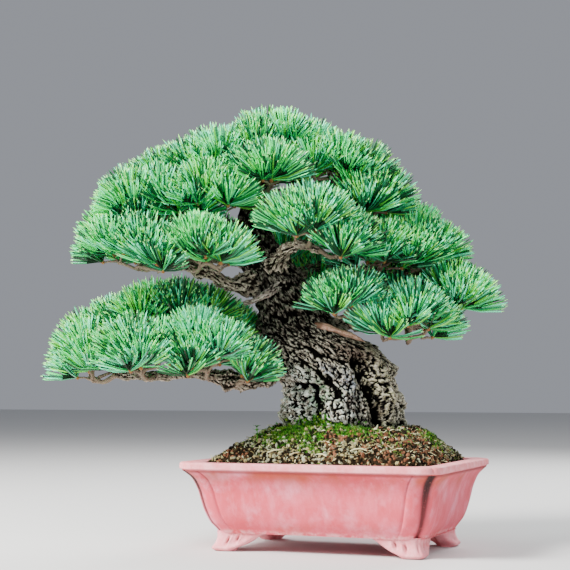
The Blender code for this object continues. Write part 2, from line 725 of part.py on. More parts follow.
# Bare cores on the twigs that were kept, each clear of the limbs and of the other masses
def grow_cores(name, twigs, limbs, grown):
    chance = random.Random(name + " cores")
    others = list(limbs.values()) + other_trees(grown, name)
    cores = []
    for (bud, axis), twig in zip(mass_buds(name), twigs):
        reach = NEEDLE * chance.uniform(*NEEDLE_VARIES)
        spin = chance.uniform(0, 2 * math.pi)
        points = clear_core(bud, axis, reach, spin, others) if twig else None
        if points:
            cores.append(Core(twig, bud, axis, reach, spin, points))
    grown[name] += [search_tree((core.points, core_faces())) for core in cores]
    return cores


# Teeth on a mass's cores, each clear of the limbs, of the other masses and of its own neighbours
def grow_teeth(name, cores, limbs, grown):
    chance = random.Random(name + " teeth")
    others = list(limbs.values()) + other_trees(grown, name)
    bare = [search_tree((core.points, core_faces())) for core in cores]
    sprays = []
    for i, core in enumerate(cores):
        done = [search_tree(spray) for spray in sprays]
        sprays.append(spray_shape(core, chance, others + done + bare[i + 1:]))
    grown[name] += [search_tree(spray) for spray in sprays]
    return sprays


# Every core is placed before the first tooth, so that each twig gets its spray
def build_foliage(wood):
    limbs = {thing.name: search_tree(shape_of(thing)) for thing in wood}
    grown = {}
    shapes = grow_wood(limbs, grown)
    cores = {name: grow_cores(name, shapes[name][1:], limbs, grown) for name in MASSES}
    masses = []
    for name in MASSES:
        sprays = grow_teeth(name, cores[name], limbs, grown)
        twigs = [core.twig for core in cores[name]]
        masses.append(join_mass(name, [shapes[name][0]] + twigs + sprays))
    return masses


def join_mass(name, shapes):
    mass = make_object(name, shapes[0])
    others = [make_object("piece", shape) for shape in shapes[1:]]
    boolean(mass, "UNION", others, "MANIFOLD")
    cut_clear(mass, MASSES[name].limb)
    mass.data.materials.clear()
    mass.data.materials.append(make_material(name.replace("_", " ") + " needles", FOLIAGE))
    return mass


def middle_of_box(things):
    corners = [v.co for thing in things for v in thing.data.vertices]
    low = [min(c[i] for c in corners) for i in range(3)]
    high = [max(c[i] for c in corners) for i in range(3)]
    return Vector(((low[0] + high[0]) / 2, (low[1] + high[1]) / 2, low[2]))


def main():
    clear_scene()
    wood = build_wood()
    things = [build_pot(), build_soil()] + wood + build_foliage(wood)
    origin = bpy.data.objects.new("bonsai_origin", None)
    bpy.context.scene.collection.objects.link(origin)
    origin.location = -middle_of_box(things)
    for thing in things:
        thing.parent = origin
    bpy.context.view_layer.update()


main()
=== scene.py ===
import math
import random

import bpy
import numpy as np
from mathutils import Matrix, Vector, noise


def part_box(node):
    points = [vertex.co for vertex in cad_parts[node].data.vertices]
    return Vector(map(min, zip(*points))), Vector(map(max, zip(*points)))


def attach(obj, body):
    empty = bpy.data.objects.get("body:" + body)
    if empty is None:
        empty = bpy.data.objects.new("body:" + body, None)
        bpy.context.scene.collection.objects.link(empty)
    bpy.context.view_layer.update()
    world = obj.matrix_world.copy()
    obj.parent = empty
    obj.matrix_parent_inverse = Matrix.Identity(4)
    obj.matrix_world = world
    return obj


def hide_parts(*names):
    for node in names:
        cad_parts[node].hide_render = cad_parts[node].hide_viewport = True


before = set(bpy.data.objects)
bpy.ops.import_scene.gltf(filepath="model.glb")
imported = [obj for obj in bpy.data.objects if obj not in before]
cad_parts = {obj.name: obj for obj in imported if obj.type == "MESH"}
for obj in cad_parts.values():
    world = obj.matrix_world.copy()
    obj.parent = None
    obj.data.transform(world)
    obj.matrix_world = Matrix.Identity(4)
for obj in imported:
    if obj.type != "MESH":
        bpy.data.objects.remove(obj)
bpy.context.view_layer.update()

# Everything below is worked out in millimetres. The pot lies square, with its middle at zero, and
# the tree has its own directions: across (to the right of its front), back and up.
mm = 0.001
treeTurn = math.radians(21.5)
potLow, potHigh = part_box("pot")
potMiddle = ((potLow.x + potHigh.x) / 2, (potLow.y + potHigh.y) / 2)
goldenAngle = math.pi * (3 - math.sqrt(5))
noise.seed_set(7)    # the same bark every time


def inPotFrame(points):
    placed = np.asarray(points, float) * mm
    placed[..., 0] += potMiddle[0]
    placed[..., 1] += potMiddle[1]
    return placed


def treeToPot(points):
    points = np.asarray(points, float)
    cos, sin = math.cos(treeTurn), math.sin(treeTurn)
    across, back = points[..., 0], points[..., 1]
    return np.stack([across * cos - back * sin, across * sin + back * cos, points[..., 2]], -1)


def inTreeFrame(points):
    return inPotFrame(treeToPot(points))


# Small tools for vectors and meshes

def unit(vectors):
    return vectors / np.maximum(np.linalg.norm(vectors, axis=-1, keepdims=True), 1e-9)


def sidesOf(directions):
    # two directions square to each one given
    helper = np.where(np.abs(directions[..., 2:3]) < 0.9, [0, 0, 1.0], [1.0, 0, 0])
    first = unit(np.cross(helper, directions))
    return first, np.cross(directions, first)


def smoothStep(value, low, high):
    share = np.clip((value - low) / (high - low), 0, 1)
    return share * share * (3 - 2 * share)


def alongCurve(points, shares):
    # the same smooth curve through its points as the solids follow
    points = np.asarray(points, float)
    last = len(points) - 1
    place = np.clip(np.asarray(shares, float), 0, 1) * last
    i = np.minimum(place.astype(int), last - 1)
    t = (place - i)[..., None]
    before, start = points[np.maximum(i - 1, 0)], points[i]
    end, after = points[i + 1], points[np.minimum(i + 2, last)]
    return 0.5 * (2 * start + (end - before) * t + (2 * before - 5 * start + 4 * end - after) * t * t
                  + (3 * start - before - 3 * end + after) * t * t * t)


def gridFaces(rows, columns):
    # quads of a grid whose columns close round on themselves
    row, column = np.meshgrid(np.arange(rows - 1), np.arange(columns), indexing="ij")
    low = row * columns + column
    nextOne = row * columns + (column + 1) % columns
    return np.stack([low, nextOne, nextOne + columns, low + columns], -1).reshape(-1, 4)


def capFaces(ring, middle, facingUp):
    following = np.roll(ring, -1)
    if facingUp:
        return np.stack([ring, following, np.full(len(ring), middle)], -1)
    return np.stack([following, ring, np.full(len(ring), middle)], -1)


def closedSkin(rings):
    # rings is rows x columns x 3; both ends are closed onto their middles
    rows, columns = rings.shape[:2]
    middles = np.stack([rings[0].mean(0), rings[-1].mean(0)])
    points = np.concatenate([rings.reshape(-1, 3), middles])
    ring = np.arange(columns)
    triangles = np.concatenate([capFaces(ring, rows * columns, False),
                                capFaces(ring + (rows - 1) * columns, rows * columns + 1, True)])
    return points, gridFaces(rows, columns), triangles


def sweep(path, sides):
    # for each point of a path, a ring of outward directions that doesn't twist
    ahead = unit(np.gradient(path, axis=0))
    side = np.array([0.31, 0.17, 0.93])
    turn = 2 * math.pi * np.arange(sides) / sides
    outward = np.empty((len(path), sides, 3))
    for i, direction in enumerate(ahead):
        side = side - direction * side.dot(direction)
        side /= np.linalg.norm(side)
        over = np.cross(direction, side)
        outward[i] = np.outer(np.cos(turn), side) + np.outer(np.sin(turn), over)
    return outward


class Heap:
    # gathers points and faces of many small things that become one mesh

    def __init__(self):
        self.points, self.faces, self.finishes, self.count = [], [], [], 0

    def add(self, points, *faceSets, finish=0):
        # finish is one number, or a list with an entry for each set of faces
        each = finish if isinstance(finish, list) else [finish] * len(faceSets)
        self.points.append(points)
        for faces, number in zip(faceSets, each):
            self.faces.append(faces + self.count)
            self.finishes.append(np.broadcast_to(number, len(faces)))
        self.count += len(points)


def faceCount(heap):
    return sum(len(faces) for faces in heap.faces)


def makePiece(name, heap, finishes, stands=(), smooth=True, place=inTreeFrame, paint=None):
    points = place(np.concatenate(heap.points))
    sizes = np.concatenate([np.full(len(f), f.shape[1]) for f in heap.faces])
    corners = np.concatenate([f.ravel() for f in heap.faces])
    mesh = bpy.data.meshes.new(name)
    mesh.vertices.add(len(points))
    mesh.vertices.foreach_set("co", points.astype(np.float32).ravel())
    mesh.loops.add(len(corners))
    mesh.loops.foreach_set("vertex_index", corners.astype(np.int32))
    mesh.polygons.add(len(sizes))
    mesh.polygons.foreach_set("loop_start", (np.cumsum(sizes) - sizes).astype(np.int32))
    mesh.polygons.foreach_set("material_index", np.concatenate(heap.finishes).astype(np.int32))
    mesh.update(calc_edges=True)
    for finish in finishes:
        mesh.materials.append(finish)
    for layer, values in (paint or {}).items():
        mesh.attributes.new(layer, "FLOAT", "POINT").data.foreach_set("value", values.astype(np.float32))
    if smooth:
        mesh.shade_smooth()
    else:
        mesh.shade_flat()
    piece = bpy.data.objects.new(name, mesh)
    bpy.context.scene.collection.objects.link(piece)
    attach(piece, "root")
    if stands:
        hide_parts(*stands)
    return piece


def camel(node):
    first, *others = node.split("_")
    return first + "".join(word.title() for word in others)


# Small tools for finishes

def newFinish(name, roughness, colour=(0.5, 0.5, 0.5), specular=0.5):
    finish = bpy.data.materials.new(name)
    finish.use_nodes = True
    shader = finish.node_tree.nodes["Principled BSDF"]
    shader.inputs["Base Color"].default_value = (*colour, 1)
    shader.inputs["Roughness"].default_value = roughness
    shader.inputs["Specular IOR Level"].default_value = specular
    return finish, finish.node_tree, shader


def patternOf(tree, scale, detail=4, roughness=0.6, stretch=(1, 1, 1), shift=0.0):
    # noise over the object's own place; scale is in waves per metre
    place = tree.nodes.new("ShaderNodeTexCoord")
    mapping = tree.nodes.new("ShaderNodeMapping")
    mapping.inputs["Scale"].default_value = stretch
    mapping.inputs["Location"].default_value = (shift, shift, shift)
    pattern = tree.nodes.new("ShaderNodeTexNoise")
    pattern.inputs["Scale"].default_value = scale
    pattern.inputs["Detail"].default_value = detail
    pattern.inputs["Roughness"].default_value = roughness
    tree.links.new(place.outputs["Object"], mapping.inputs["Vector"])
    tree.links.new(mapping.outputs["Vector"], pattern.inputs["Vector"])
    return pattern.outputs["Fac"]


def placeAlong(tree, axis):
    place = tree.nodes.new("ShaderNodeTexCoord")
    parts = tree.nodes.new("ShaderNodeSeparateXYZ")
    tree.links.new(place.outputs["Object"], parts.inputs["Vector"])
    return parts.outputs[axis]


def paintOf(tree, layer):
    read = tree.nodes.new("ShaderNodeAttribute")
    read.attribute_name = layer
    return read.outputs["Fac"]


def between(tree, source, low, high, start=0.0, end=1.0):
    ranged = tree.nodes.new("ShaderNodeMapRange")
    ranged.interpolation_type = "SMOOTHSTEP"
    tree.links.new(source, ranged.inputs["Value"])
    for label, value in (("From Min", low), ("From Max", high), ("To Min", start), ("To Max", end)):
        ranged.inputs[label].default_value = value
    return ranged.outputs["Result"]


def maths(tree, operation, first, second):
    made = tree.nodes.new("ShaderNodeMath")
    made.operation = operation
    for socket, value in zip(made.inputs, (first, second)):
        if isinstance(value, (int, float)):
            socket.default_value = value
        else:
            tree.links.new(value, socket)
    return made.outputs[0]


def mixColours(tree, share, first, second, how="MIX"):
    mixed = tree.nodes.new("ShaderNodeMix")
    mixed.data_type = "RGBA"
    mixed.blend_type = how
    for socket, value in zip((mixed.inputs[0], mixed.inputs[6], mixed.inputs[7]), (share, first, second)):
        if isinstance(value, (int, float)):
            socket.default_value = value
        elif isinstance(value, tuple):
            socket.default_value = (*value, 1)
        else:
            tree.links.new(value, socket)
    return mixed.outputs[2]


def layOver(tree, below, colour, *shares):
    # a colour over what lies below it, as strong as its shares multiplied
    strength = shares[0]
    for share in shares[1:]:
        strength = maths(tree, "MULTIPLY", strength, share)
    return mixColours(tree, strength, below, colour)


def patches(tree, low, high, *settings, shift=0.0):
    # soft patches of a pattern, between two of its levels
    return between(tree, patternOf(tree, *settings, shift=shift), low, high)


def addBump(tree, shader, height, depth, strength=1.0):
    bump = tree.nodes.new("ShaderNodeBump")
    bump.inputs["Distance"].default_value = depth * mm
    bump.inputs["Strength"].default_value = strength
    tree.links.new(height, bump.inputs["Height"])
    tree.links.new(bump.outputs["Normal"], shader.inputs["Normal"])


# Camera at the photograph's view, in front of the tree
cameraPlace = {"turn": 21.5, "pitch": 3.98, "distance": 1171.6, "height": 127.8, "aside": -42.2,
               "focal": 92.25}


def setCamera():
    turn = math.radians(cameraPlace["turn"])
    aside, away = cameraPlace["aside"] * mm, cameraPlace["distance"] * mm
    data = bpy.data.cameras.new("photoView")
    data.lens = cameraPlace["focal"]
    data.dof.use_dof = False
    data.clip_start = 0.05
    camera = bpy.data.objects.new("photoView", data)
    camera.location = (potMiddle[0] + aside * math.cos(turn) + away * math.sin(turn),
                       potMiddle[1] + aside * math.sin(turn) - away * math.cos(turn),
                       cameraPlace["height"] * mm)
    camera.rotation_euler = (math.radians(90 + cameraPlace["pitch"]), 0, turn)
    bpy.context.scene.collection.objects.link(camera)
    bpy.context.scene.camera = camera


# Pale floor and soft studio light
studio = {"floor": (0.62, 0.62, 0.61), "floorHalf": 6.0, "sky": (0.86, 0.90, 1.0), "skyStrength": 0.36,
          "aim": (0, 0, 0.17),
          # place, size, power and colour of each lamp
          "lamps": {"key": ((-0.85, -1.05, 1.15), 0.6, 108.0, (1.0, 0.98, 0.95)),
                    "fill": ((1.15, -0.85, 0.60), 1.0, 11.0, (0.93, 0.97, 1.0)),
                    "left": ((-1.45, -0.25, 0.50), 0.8, 22.0, (1.0, 0.99, 0.97)),
                    "rim": ((0.35, 1.10, 1.00), 0.8, 27.0, (1.0, 1.0, 1.0))}}


def setStudio():
    half = studio["floorHalf"]
    mesh = bpy.data.meshes.new("floor")
    mesh.from_pydata([(-half, -half, 0), (half, -half, 0), (half, half, 0), (-half, half, 0)], [],
                     [(0, 1, 2, 3)])
    floor = bpy.data.objects.new("floor", mesh)
    floor.data.materials.append(newFinish("pale floor", 0.9, studio["floor"], 0.2)[0])
    bpy.context.scene.collection.objects.link(floor)
    world = bpy.data.worlds.new("soft room")
    world.use_nodes = True
    background = world.node_tree.nodes["Background"]
    background.inputs["Color"].default_value = (*studio["sky"], 1)
    background.inputs["Strength"].default_value = studio["skyStrength"]
    bpy.context.scene.world = world
    for name, (place, size, power, colour) in studio["lamps"].items():
        data = bpy.data.lights.new(name, "AREA")
        data.size, data.energy, data.color = size, power, colour
        lamp = bpy.data.objects.new(name, data)
        lamp.location = place
        aim = Vector(studio["aim"]) - lamp.location
        lamp.rotation_euler = aim.to_track_quat("-Z", "Y").to_euler()
        bpy.context.scene.collection.objects.link(lamp)


# Pot: unglazed pink clay, with a notch at each corner, a flared lip and bracket feet
pot = {
    "length": 212, "depth": 167, "height": 69.6, "lipHeight": 6.4, "lipWidth": 15, "lipEdge": 1.6,
    "lipFall": 0.25, "lipRows": (4.0, 8.0, 12.0), "innerStep": 0.3, "innerRows": (62, 57, 50),
    "wall": 5.5, "bottom": 14.4, "underShare": 0.9, "underSpare": 6, "underLift": 0.2,
    "tuckLength": 21.5, "tuckDepth": 28, "notchDepth": 6.2, "notchRun": 11, "innerNotch": 0.6,
    "soilEdge": 64, "arcSteps": 12, "sideSteps": 24, "wallRows": 44,
    "profile": [(63.2, 0.06), (60.5, 0.18), (56.3, 0.32), (48.3, 0.45), (41.0, 0.52), (34.0, 0.59),
                (27.0, 0.68), (22.3, 0.77), (18.0, 0.90), (14.4, 1.0)],
    "creaseRows": (0.4, 0.9, 1.4, 1.9, 2.4, 3.0, 4.0, 6.0), "creaseAt": 1.7, "creaseWidth": 1.0,
    "creaseDepth": 0.9, "creaseShade": 0.2,
}
foot = {
    "thick": 10, "inset": 2, "sunk": 1.2, "rows": 22, "corner": 3.2, "soft": 3.0, "around": 170,
    "profile": [(0.0, 12.4, 0.4), (1.0, 14.6, 2.6), (2.8, 18, 3.6), (6.0, 24, 1.7), (10.5, 30, 0.3),
                (14.4, 36, 0.4)],
    # dents of the scrolls: how far along the wing from the corner, height, length, width, depth
    "scrolls": [(10.4, 8.0, 3.2, 1.1, 2.6), (18.6, 9.8, 2.5, 1.15, 2.6)],
    "scrollLean": 0.35, "scrollBend": 0.12, "scrollRim": 0.55, "scrollRimOff": 1.9,
    "faceFrom": (-5.0, -1.5), "cornerClear": 2, "creaseWide": 1.6, "creaseFrom": (2.5, 6),
    "creaseDepth": 0.8, "shade": 0.62, "darkest": 0.52,
}


def sideRun(start, end, crease):
    # points of a side between two notches, with a fine crease beside each notch of a long side, and the
    # painted shade of each crease
    away = end - start
    length = np.linalg.norm(away)
    near = np.array(pot["creaseRows"])
    middle = np.linspace(near[-1], length - near[-1], pot["sideSteps"] + 1)[1:-1]
    along = np.concatenate([near, middle, length - near[::-1]])
    fromNotch = np.minimum(along, length - along)
    isLong = abs(away[0]) > abs(away[1])
    share = np.exp(-((fromNotch - pot["creaseAt"]) / pot["creaseWidth"]) ** 2) * isLong
    inward = np.array([-away[1], away[0]]) / length
    points = start + np.outer(along / length, away) + np.outer(share * crease, inward)
    return list(points), list(pot["creaseShade"] * share * (crease > 0))


def potOutline(halfX, halfY, size, crease=0.0):
    # one turn round the pot's side at one height, and how deep in a notch each point lies, which sets the
    # painted shade there and in the creases
    depth, run = pot["notchDepth"] * size, pot["notchRun"] * size
    corners = [((1, -1), (1, 0), (0, 1)), ((1, 1), (0, 1), (-1, 0)),
               ((-1, 1), (-1, 0), (0, -1)), ((-1, -1), (0, -1), (1, 0))]
    outline, hollow = [], []
    turns = np.linspace(0, math.pi / 2, pot["arcSteps"] + 1)
    for corner, arrive, leave in corners:
        corner = np.array([halfX, halfY]) * corner
        arrive, leave = np.array(arrive, float), np.array(leave, float)
        first = corner - arrive * (depth + run) + leave * depth
        second = corner - arrive * depth + leave * (depth + run)
        if outline:
            points, dark = sideRun(outline[-1], first - leave * depth, crease)
            outline += points
            hollow += dark
        for turn in turns[:-1]:
            outline.append(first + arrive * run * math.sin(turn) - leave * depth * math.cos(turn))
            hollow.append((1 - math.cos(turn)) ** 2)
        for turn in turns:
            outline.append(second + arrive * depth * math.sin(turn) - leave * run * math.cos(turn))
            hollow.append((1 - math.sin(turn)) ** 2)
    points, dark = sideRun(outline[-1], outline[0], crease)
    return np.array(outline + points), np.array(hollow + dark)


def potRing(insetX, insetY, up, size=1.0, crease=0.0):
    outline = potOutline(pot["length"] / 2 - insetX, pot["depth"] / 2 - insetY, size, crease)[0]
    return np.column_stack([outline, np.full(len(outline), up)])


def tuckAt(up):
    heights, shares = np.array(pot["profile"][::-1]).T
    return np.interp(up, heights, shares)


def innerRing(up, spare=0.0):
    share = tuckAt(up)
    insets = [max(share * pot[tuck] + pot["wall"], pot["lipWidth"]) + spare
              for tuck in ("tuckLength", "tuckDepth")]
    return potRing(insets[0], insets[1], up, pot["innerNotch"])


def roundedEdge(insetFrom, insetTo, upFrom, upTo, steps=5):
    # a quarter turn from one inset and height to another, for the lip's soft edges
    turns = np.linspace(0, math.pi / 2, steps)
    return [(insetTo + (insetFrom - insetTo) * math.cos(t), upFrom + (upTo - upFrom) * math.sin(t))
            for t in turns]


def potWall():
    rows = alongCurve(np.array(pot["profile"][::-1]), np.linspace(0, 1, pot["wallRows"]))
    under = pot["underShare"]
    rings = [potRing(under * pot["tuckLength"], under * pot["tuckDepth"] + pot["underSpare"],
                     pot["bottom"] + pot["underLift"])]
    rings += [potRing(share * pot["tuckLength"], share * pot["tuckDepth"], up, 1.0, pot["creaseDepth"])
              for up, share in rows]
    edge, top = pot["lipEdge"], pot["height"]
    lipFoot = top - pot["lipHeight"]
    lip = roundedEdge(edge, 0, lipFoot, lipFoot + edge) + [(0.0, top - edge)]
    lip += [(edge * (1 - math.cos(t)), top - edge + edge * math.sin(t))
            for t in np.linspace(0.3, math.pi / 2, 5)]
    lip += [(inset, top - pot["lipFall"] * inset / pot["lipWidth"]) for inset in pot["lipRows"]]
    rings += [potRing(inset, inset, up) for inset, up in lip]
    for t in np.linspace(0, math.pi / 2, 4):
        inset = pot["lipWidth"] - edge * (1 - math.sin(t))
        rings.append(potRing(inset, inset, top - pot["innerStep"] - edge * (1 - math.cos(t)),
                             pot["innerNotch"]))
    rings += [innerRing(up) for up in pot["innerRows"]]
    return np.array(rings)


def roundCorners(outline, radius, steps=5):
    points = []
    for before, corner, after in zip(np.roll(outline, 1, 0), outline, np.roll(outline, -1, 0)):
        start = corner + unit(before - corner) * min(radius, np.linalg.norm(before - corner) * 0.45)
        end = corner + unit(after - corner) * min(radius, np.linalg.norm(after - corner) * 0.45)
        for t in np.linspace(0, 1, steps):
            points.append(start * (1 - t) ** 2 + 2 * corner * t * (1 - t) + end * t ** 2)
    return np.array(points)


def evenly(outline, count):
    # the same closed outline with evenly spaced points
    closed = np.vstack([outline, outline[:1]])
    along = np.concatenate([[0], np.cumsum(np.linalg.norm(np.diff(closed, axis=0), axis=1))])
    places = np.linspace(0, along[-1], count, endpoint=False)
    return np.column_stack([np.interp(places, along, closed[:, i]) for i in (0, 1)])


def footRings():
    # one bracket foot in its own corner: the body's corner at zero, wings running to -x and -y
    rows = alongCurve(np.array(foot["profile"]), np.linspace(0, 1, foot["rows"]))
    inner, soft = -foot["thick"], foot["soft"]
    rings = []
    for up, wing, out in rows:
        height = up if up < rows[-1][0] - 0.01 else pot["bottom"] + foot["sunk"]
        x = y = out
        outline = np.array([(x - wing, y), (x - soft, y), (x, y - soft), (x, y - wing),
                            (x - soft, y - wing - soft), (inner, y - wing - soft), (inner, inner),
                            (x - wing - soft, inner), (x - wing - soft, y - soft)])
        ring = evenly(roundCorners(outline, foot["corner"]), foot["around"])
        rings.append(np.column_stack([ring, np.full(len(ring), height)]))
    return np.array(rings)


def scrollShare(rings, wing, height, length, width):
    # 1 in the middle of a curled dent, a little under 0 on the raised rim beside it
    along = np.maximum(-rings[..., 0], -rings[..., 1])
    raised = rings[..., 2] - height
    off = (along - wing - raised * foot["scrollLean"] - foot["scrollBend"] * raised ** 2 / length) / width
    rim = foot["scrollRim"] * np.exp(-(off - foot["scrollRimOff"]) ** 2)
    return (np.exp(-off ** 2) - rim) * np.exp(-(raised / length) ** 2)


def carveFoot(rings):
    # scroll dents on both outer faces, and an upright crease at the corner
    nearFace = [smoothStep(rings[..., face], *foot["faceFrom"]) for face in (0, 1)]
    carved = rings.copy()
    for *place, depth in foot["scrolls"]:
        dent = depth * scrollShare(rings, *place)
        for face in (1, 0):
            carved[..., face] -= dent * nearFace[face] * (rings[..., 1 - face] < -foot["cornerClear"])
    corner = np.exp(-((rings[..., 0] - rings[..., 1]) / foot["creaseWide"]) ** 2) * nearFace[1] * nearFace[0]
    crease = foot["creaseDepth"] * corner * smoothStep(rings[..., 2], *foot["creaseFrom"])
    carved[..., :2] -= crease[..., None]
    return carved


def scrollDentShade(rings):
    # painted shade in the scroll dents of a foot
    shares = [np.maximum(scrollShare(rings, *place), 0) for *place, _ in foot["scrolls"]]
    return np.clip(sum(shares) * foot["shade"], 0, foot["darkest"])


clayColours = {
    "deep": (0.63, 0.058, 0.080), "plain": (0.70, 0.088, 0.130), "blush": (0.84, 0.19, 0.26),
    "warm": (0.58, 0.080, 0.055), "streak": (0.88, 0.32, 0.42), "bloom": (0.90, 0.46, 0.60),
    "stain": (0.44, 0.070, 0.022), "rim": (0.74, 0.20, 0.22), "paleRim": (0.86, 0.36, 0.39),
    "lipShadowLine": (0.26, 0.030, 0.028), "lime": (0.88, 0.55, 0.56), "sole": (0.82, 0.33, 0.36),
    "hollow": (0.10, 0.012, 0.014), "lipShade": (0.02, 0.004, 0.004), "freckle": (0.58, 0.12, 0.12),
}
# Heights (m) between which each colour comes in
clayHeights = {
    "warmTop": (0.036, 0.060), "warmFoot": (0.032, 0.016), "stain": (0.050, 0.061),
    "darkUnderLipEnd": (0.0655, 0.063), "rim": (0.0625, 0.0655), "lipShadowLine": (0.0608, 0.0628),
    "lipShadowLineEnd": (0.0642, 0.0634), "lime": (0.0185, 0.0155), "sole": (0.0150, 0.0135),
    "hollow": (0.015, 0.058, 0.6, 1.0), "lipShade": (0.036, 0.058, 0.0, 0.9),
    "lipShadeEnd": (0.0640, 0.0632),
}


def clayFinish():
    finish, tree, shader = newFinish("unglazed pink clay", 0.72, specular=0.35)
    up = placeAlong(tree, "Z")

    def atHeight(name):
        return between(tree, up, *clayHeights[name])

    def lay(below, name, *shares):
        return layOver(tree, below, clayColours[name], *shares)

    clay = mixColours(tree, patches(tree, 0.3, 0.7, 24, 5), clayColours["deep"], clayColours["plain"])
    blush = patches(tree, 0.42, 0.72, 46, 6, 0.7, (1, 1, 0.45), shift=3.1)
    clay = lay(clay, "blush", blush, 0.6)
    clay = lay(clay, "warm", patches(tree, 0.46, 0.66, 34, 5, 0.7, (1, 1, 0.6), shift=20.5),
               maths(tree, "ADD", atHeight("warmTop"), atHeight("warmFoot")), 0.55)
    clay = lay(clay, "streak", patches(tree, 0.50, 0.75, 120, 4, 0.6, (1, 1, 0.08), shift=7.7), 0.3)
    # pale pink patches of painted highlight, strongest towards the left end where the key light falls
    clay = lay(clay, "bloom", patches(tree, 0.46, 0.70, 38, 6, 0.62, (1, 1, 0.8), shift=12.4),
               between(tree, placeAlong(tree, "X"), 0.05, -0.06, 0.35, 0.75))
    # a darker orange-brown band just under the lip, broken by a pattern
    clay = lay(clay, "stain", atHeight("stain"), atHeight("darkUnderLipEnd"),
               patches(tree, 0.40, 0.62, 30, 3, 0.5, (1, 1, 0.3), shift=1.3), 0.85)
    # the rim is lighter clay, and its pale patches are painted highlight
    rimClay = mixColours(tree, patches(tree, 0.35, 0.7, 90, 5, 0.65, shift=5.0), clayColours["rim"],
                         clayColours["paleRim"])
    clay = mixColours(tree, atHeight("rim"), clay, rimClay)
    # a thin line of painted shadow under the lip
    clay = lay(clay, "lipShadowLine", atHeight("lipShadowLine"), atHeight("lipShadowLineEnd"), 0.75)
    # a broken thin line of painted highlight along the bottom edge of the wall
    clay = lay(clay, "lime", atHeight("lime"), patches(tree, 0.38, 0.62, 160, 4, 0.7, shift=9.0), 0.55)
    clay = lay(clay, "sole", atHeight("sole"), 0.6)
    # painted shade in the notches, the creases and the scroll dents
    notch = maths(tree, "MULTIPLY", paintOf(tree, "hollow"), atHeight("hollow"))
    hollow = between(tree, notch, 0.03, 0.48)
    clay = lay(clay, "hollow", hollow, 0.93)
    clay = lay(clay, "lipShade", hollow, atHeight("lipShade"), atHeight("lipShadeEnd"))
    clay = lay(clay, "freckle", patches(tree, 0.60, 0.72, 700, 2, 0.5), 0.25)
    tree.links.new(clay, shader.inputs["Base Color"])
    tree.links.new(between(tree, blush, 0, 1, 0.66, 0.85), shader.inputs["Roughness"])
    grit = maths(tree, "ADD", patternOf(tree, 1300, 3, 0.6), patternOf(tree, 160, 4, 0.6))
    addBump(tree, shader, grit, 0.35, 0.5)
    return finish


def buildPot():
    heap = Heap()
    wall = potWall()
    inWall = np.zeros(wall.shape[:2])
    inWall[:pot["wallRows"] + 1] = potOutline(pot["length"] / 2, pot["depth"] / 2, 1.0,
                                              pot["creaseDepth"])[1]
    heap.add(*closedSkin(wall))
    painted = [inWall.ravel(), [0, 0]]
    plain = footRings()
    carved, shade = carveFoot(plain), scrollDentShade(plain)
    corner = [pot["length"] / 2 - pot["tuckLength"] - foot["inset"],
              pot["depth"] / 2 - pot["tuckDepth"] - foot["inset"], 0]
    for signX in (-1, 1):
        for signY in (-1, 1):
            order = -1 if signX * signY > 0 else 1    # keeps the faces outward
            heap.add(*closedSkin(((carved + corner) * [signX, signY, 1])[:, ::order]))
            painted += [shade[:, ::order].ravel(), [0, 0]]
    piece = makePiece("clayPot", heap, [clayFinish()], ["pot"], place=inPotFrame,
                      paint={"hollow": np.concatenate(painted)})
    piece.data.set_sharp_from_angle(angle=math.radians(40))
    print("pot:", len(heap.points), "parts")


# Soil: a mound of clay crumbs, dried moss and straw
soil = {
    "seatUp": 95, "seatMiddle": (7, -5), "seatHalf": (56, 50), "below": 6,
    "rise": [(0, 0), (0.14, 0.24), (0.32, 0.44), (0.56, 0.66), (0.80, 0.88), (1.0, 1.0), (1.5, 1.0)],
    "columns": 300, "rows": 90, "rough": 2.6, "lump": 9,
    "crumbs": 5200, "crumbSize": (0.6, 2.3), "brownPatch": (22, 3.7), "reddishFrom": 0.16,
    "flakes": 3000, "flakeLength": (2.4, 6.0), "flakeWidth": (0.8, 1.9), "flakeCurl": (0.6, 3.0),
    "flakeLift": 0.6, "greenPatch": (26, 8.1), "greenFrom": 0.22,
    "straws": 170, "strawLength": (4, 13), "strawRadius": (0.18, 0.38), "strawLift": 1.2,
    # turn round the pot, way in, heading (degrees) and length of the longest straws
    "longStraws": [(-114, 0.36, 18, 19), (-100, 0.30, 40, 14), (-60, 0.35, 5, 13), (-84, 0.22, -12, 12),
                   (70, 0.40, 150, 16), (160, 0.40, 95, 15)],
    "longRadius": 0.55, "longLift": 2.0, "longBend": (-1.2, 0.2, 0.5, 0.1, -1.4),
}
crumbColours = [("dark crumb", (0.010, 0.008, 0.004)), ("red brown crumb", (0.19, 0.082, 0.042)),
                ("brown crumb", (0.060, 0.042, 0.020)), ("tan crumb", (0.30, 0.26, 0.12)),
                ("grey beige crumb", (0.29, 0.31, 0.20)), ("straw", (0.56, 0.54, 0.30)),
                ("dull green crumb", (0.10, 0.17, 0.03))]
# Up to which share of the draws each of these colours is dealt
reddishMix = [(0.48, 1), (0.66, 2), (0.72, 3), (1, 0)]
paleMix = [(0.20, 3), (0.40, 4), (0.84, 0), (1, 2)]
flakeMix = [(0.15, 5), (0.38, 4), (0.52, 3), (0.70, 2), (1, 0)]


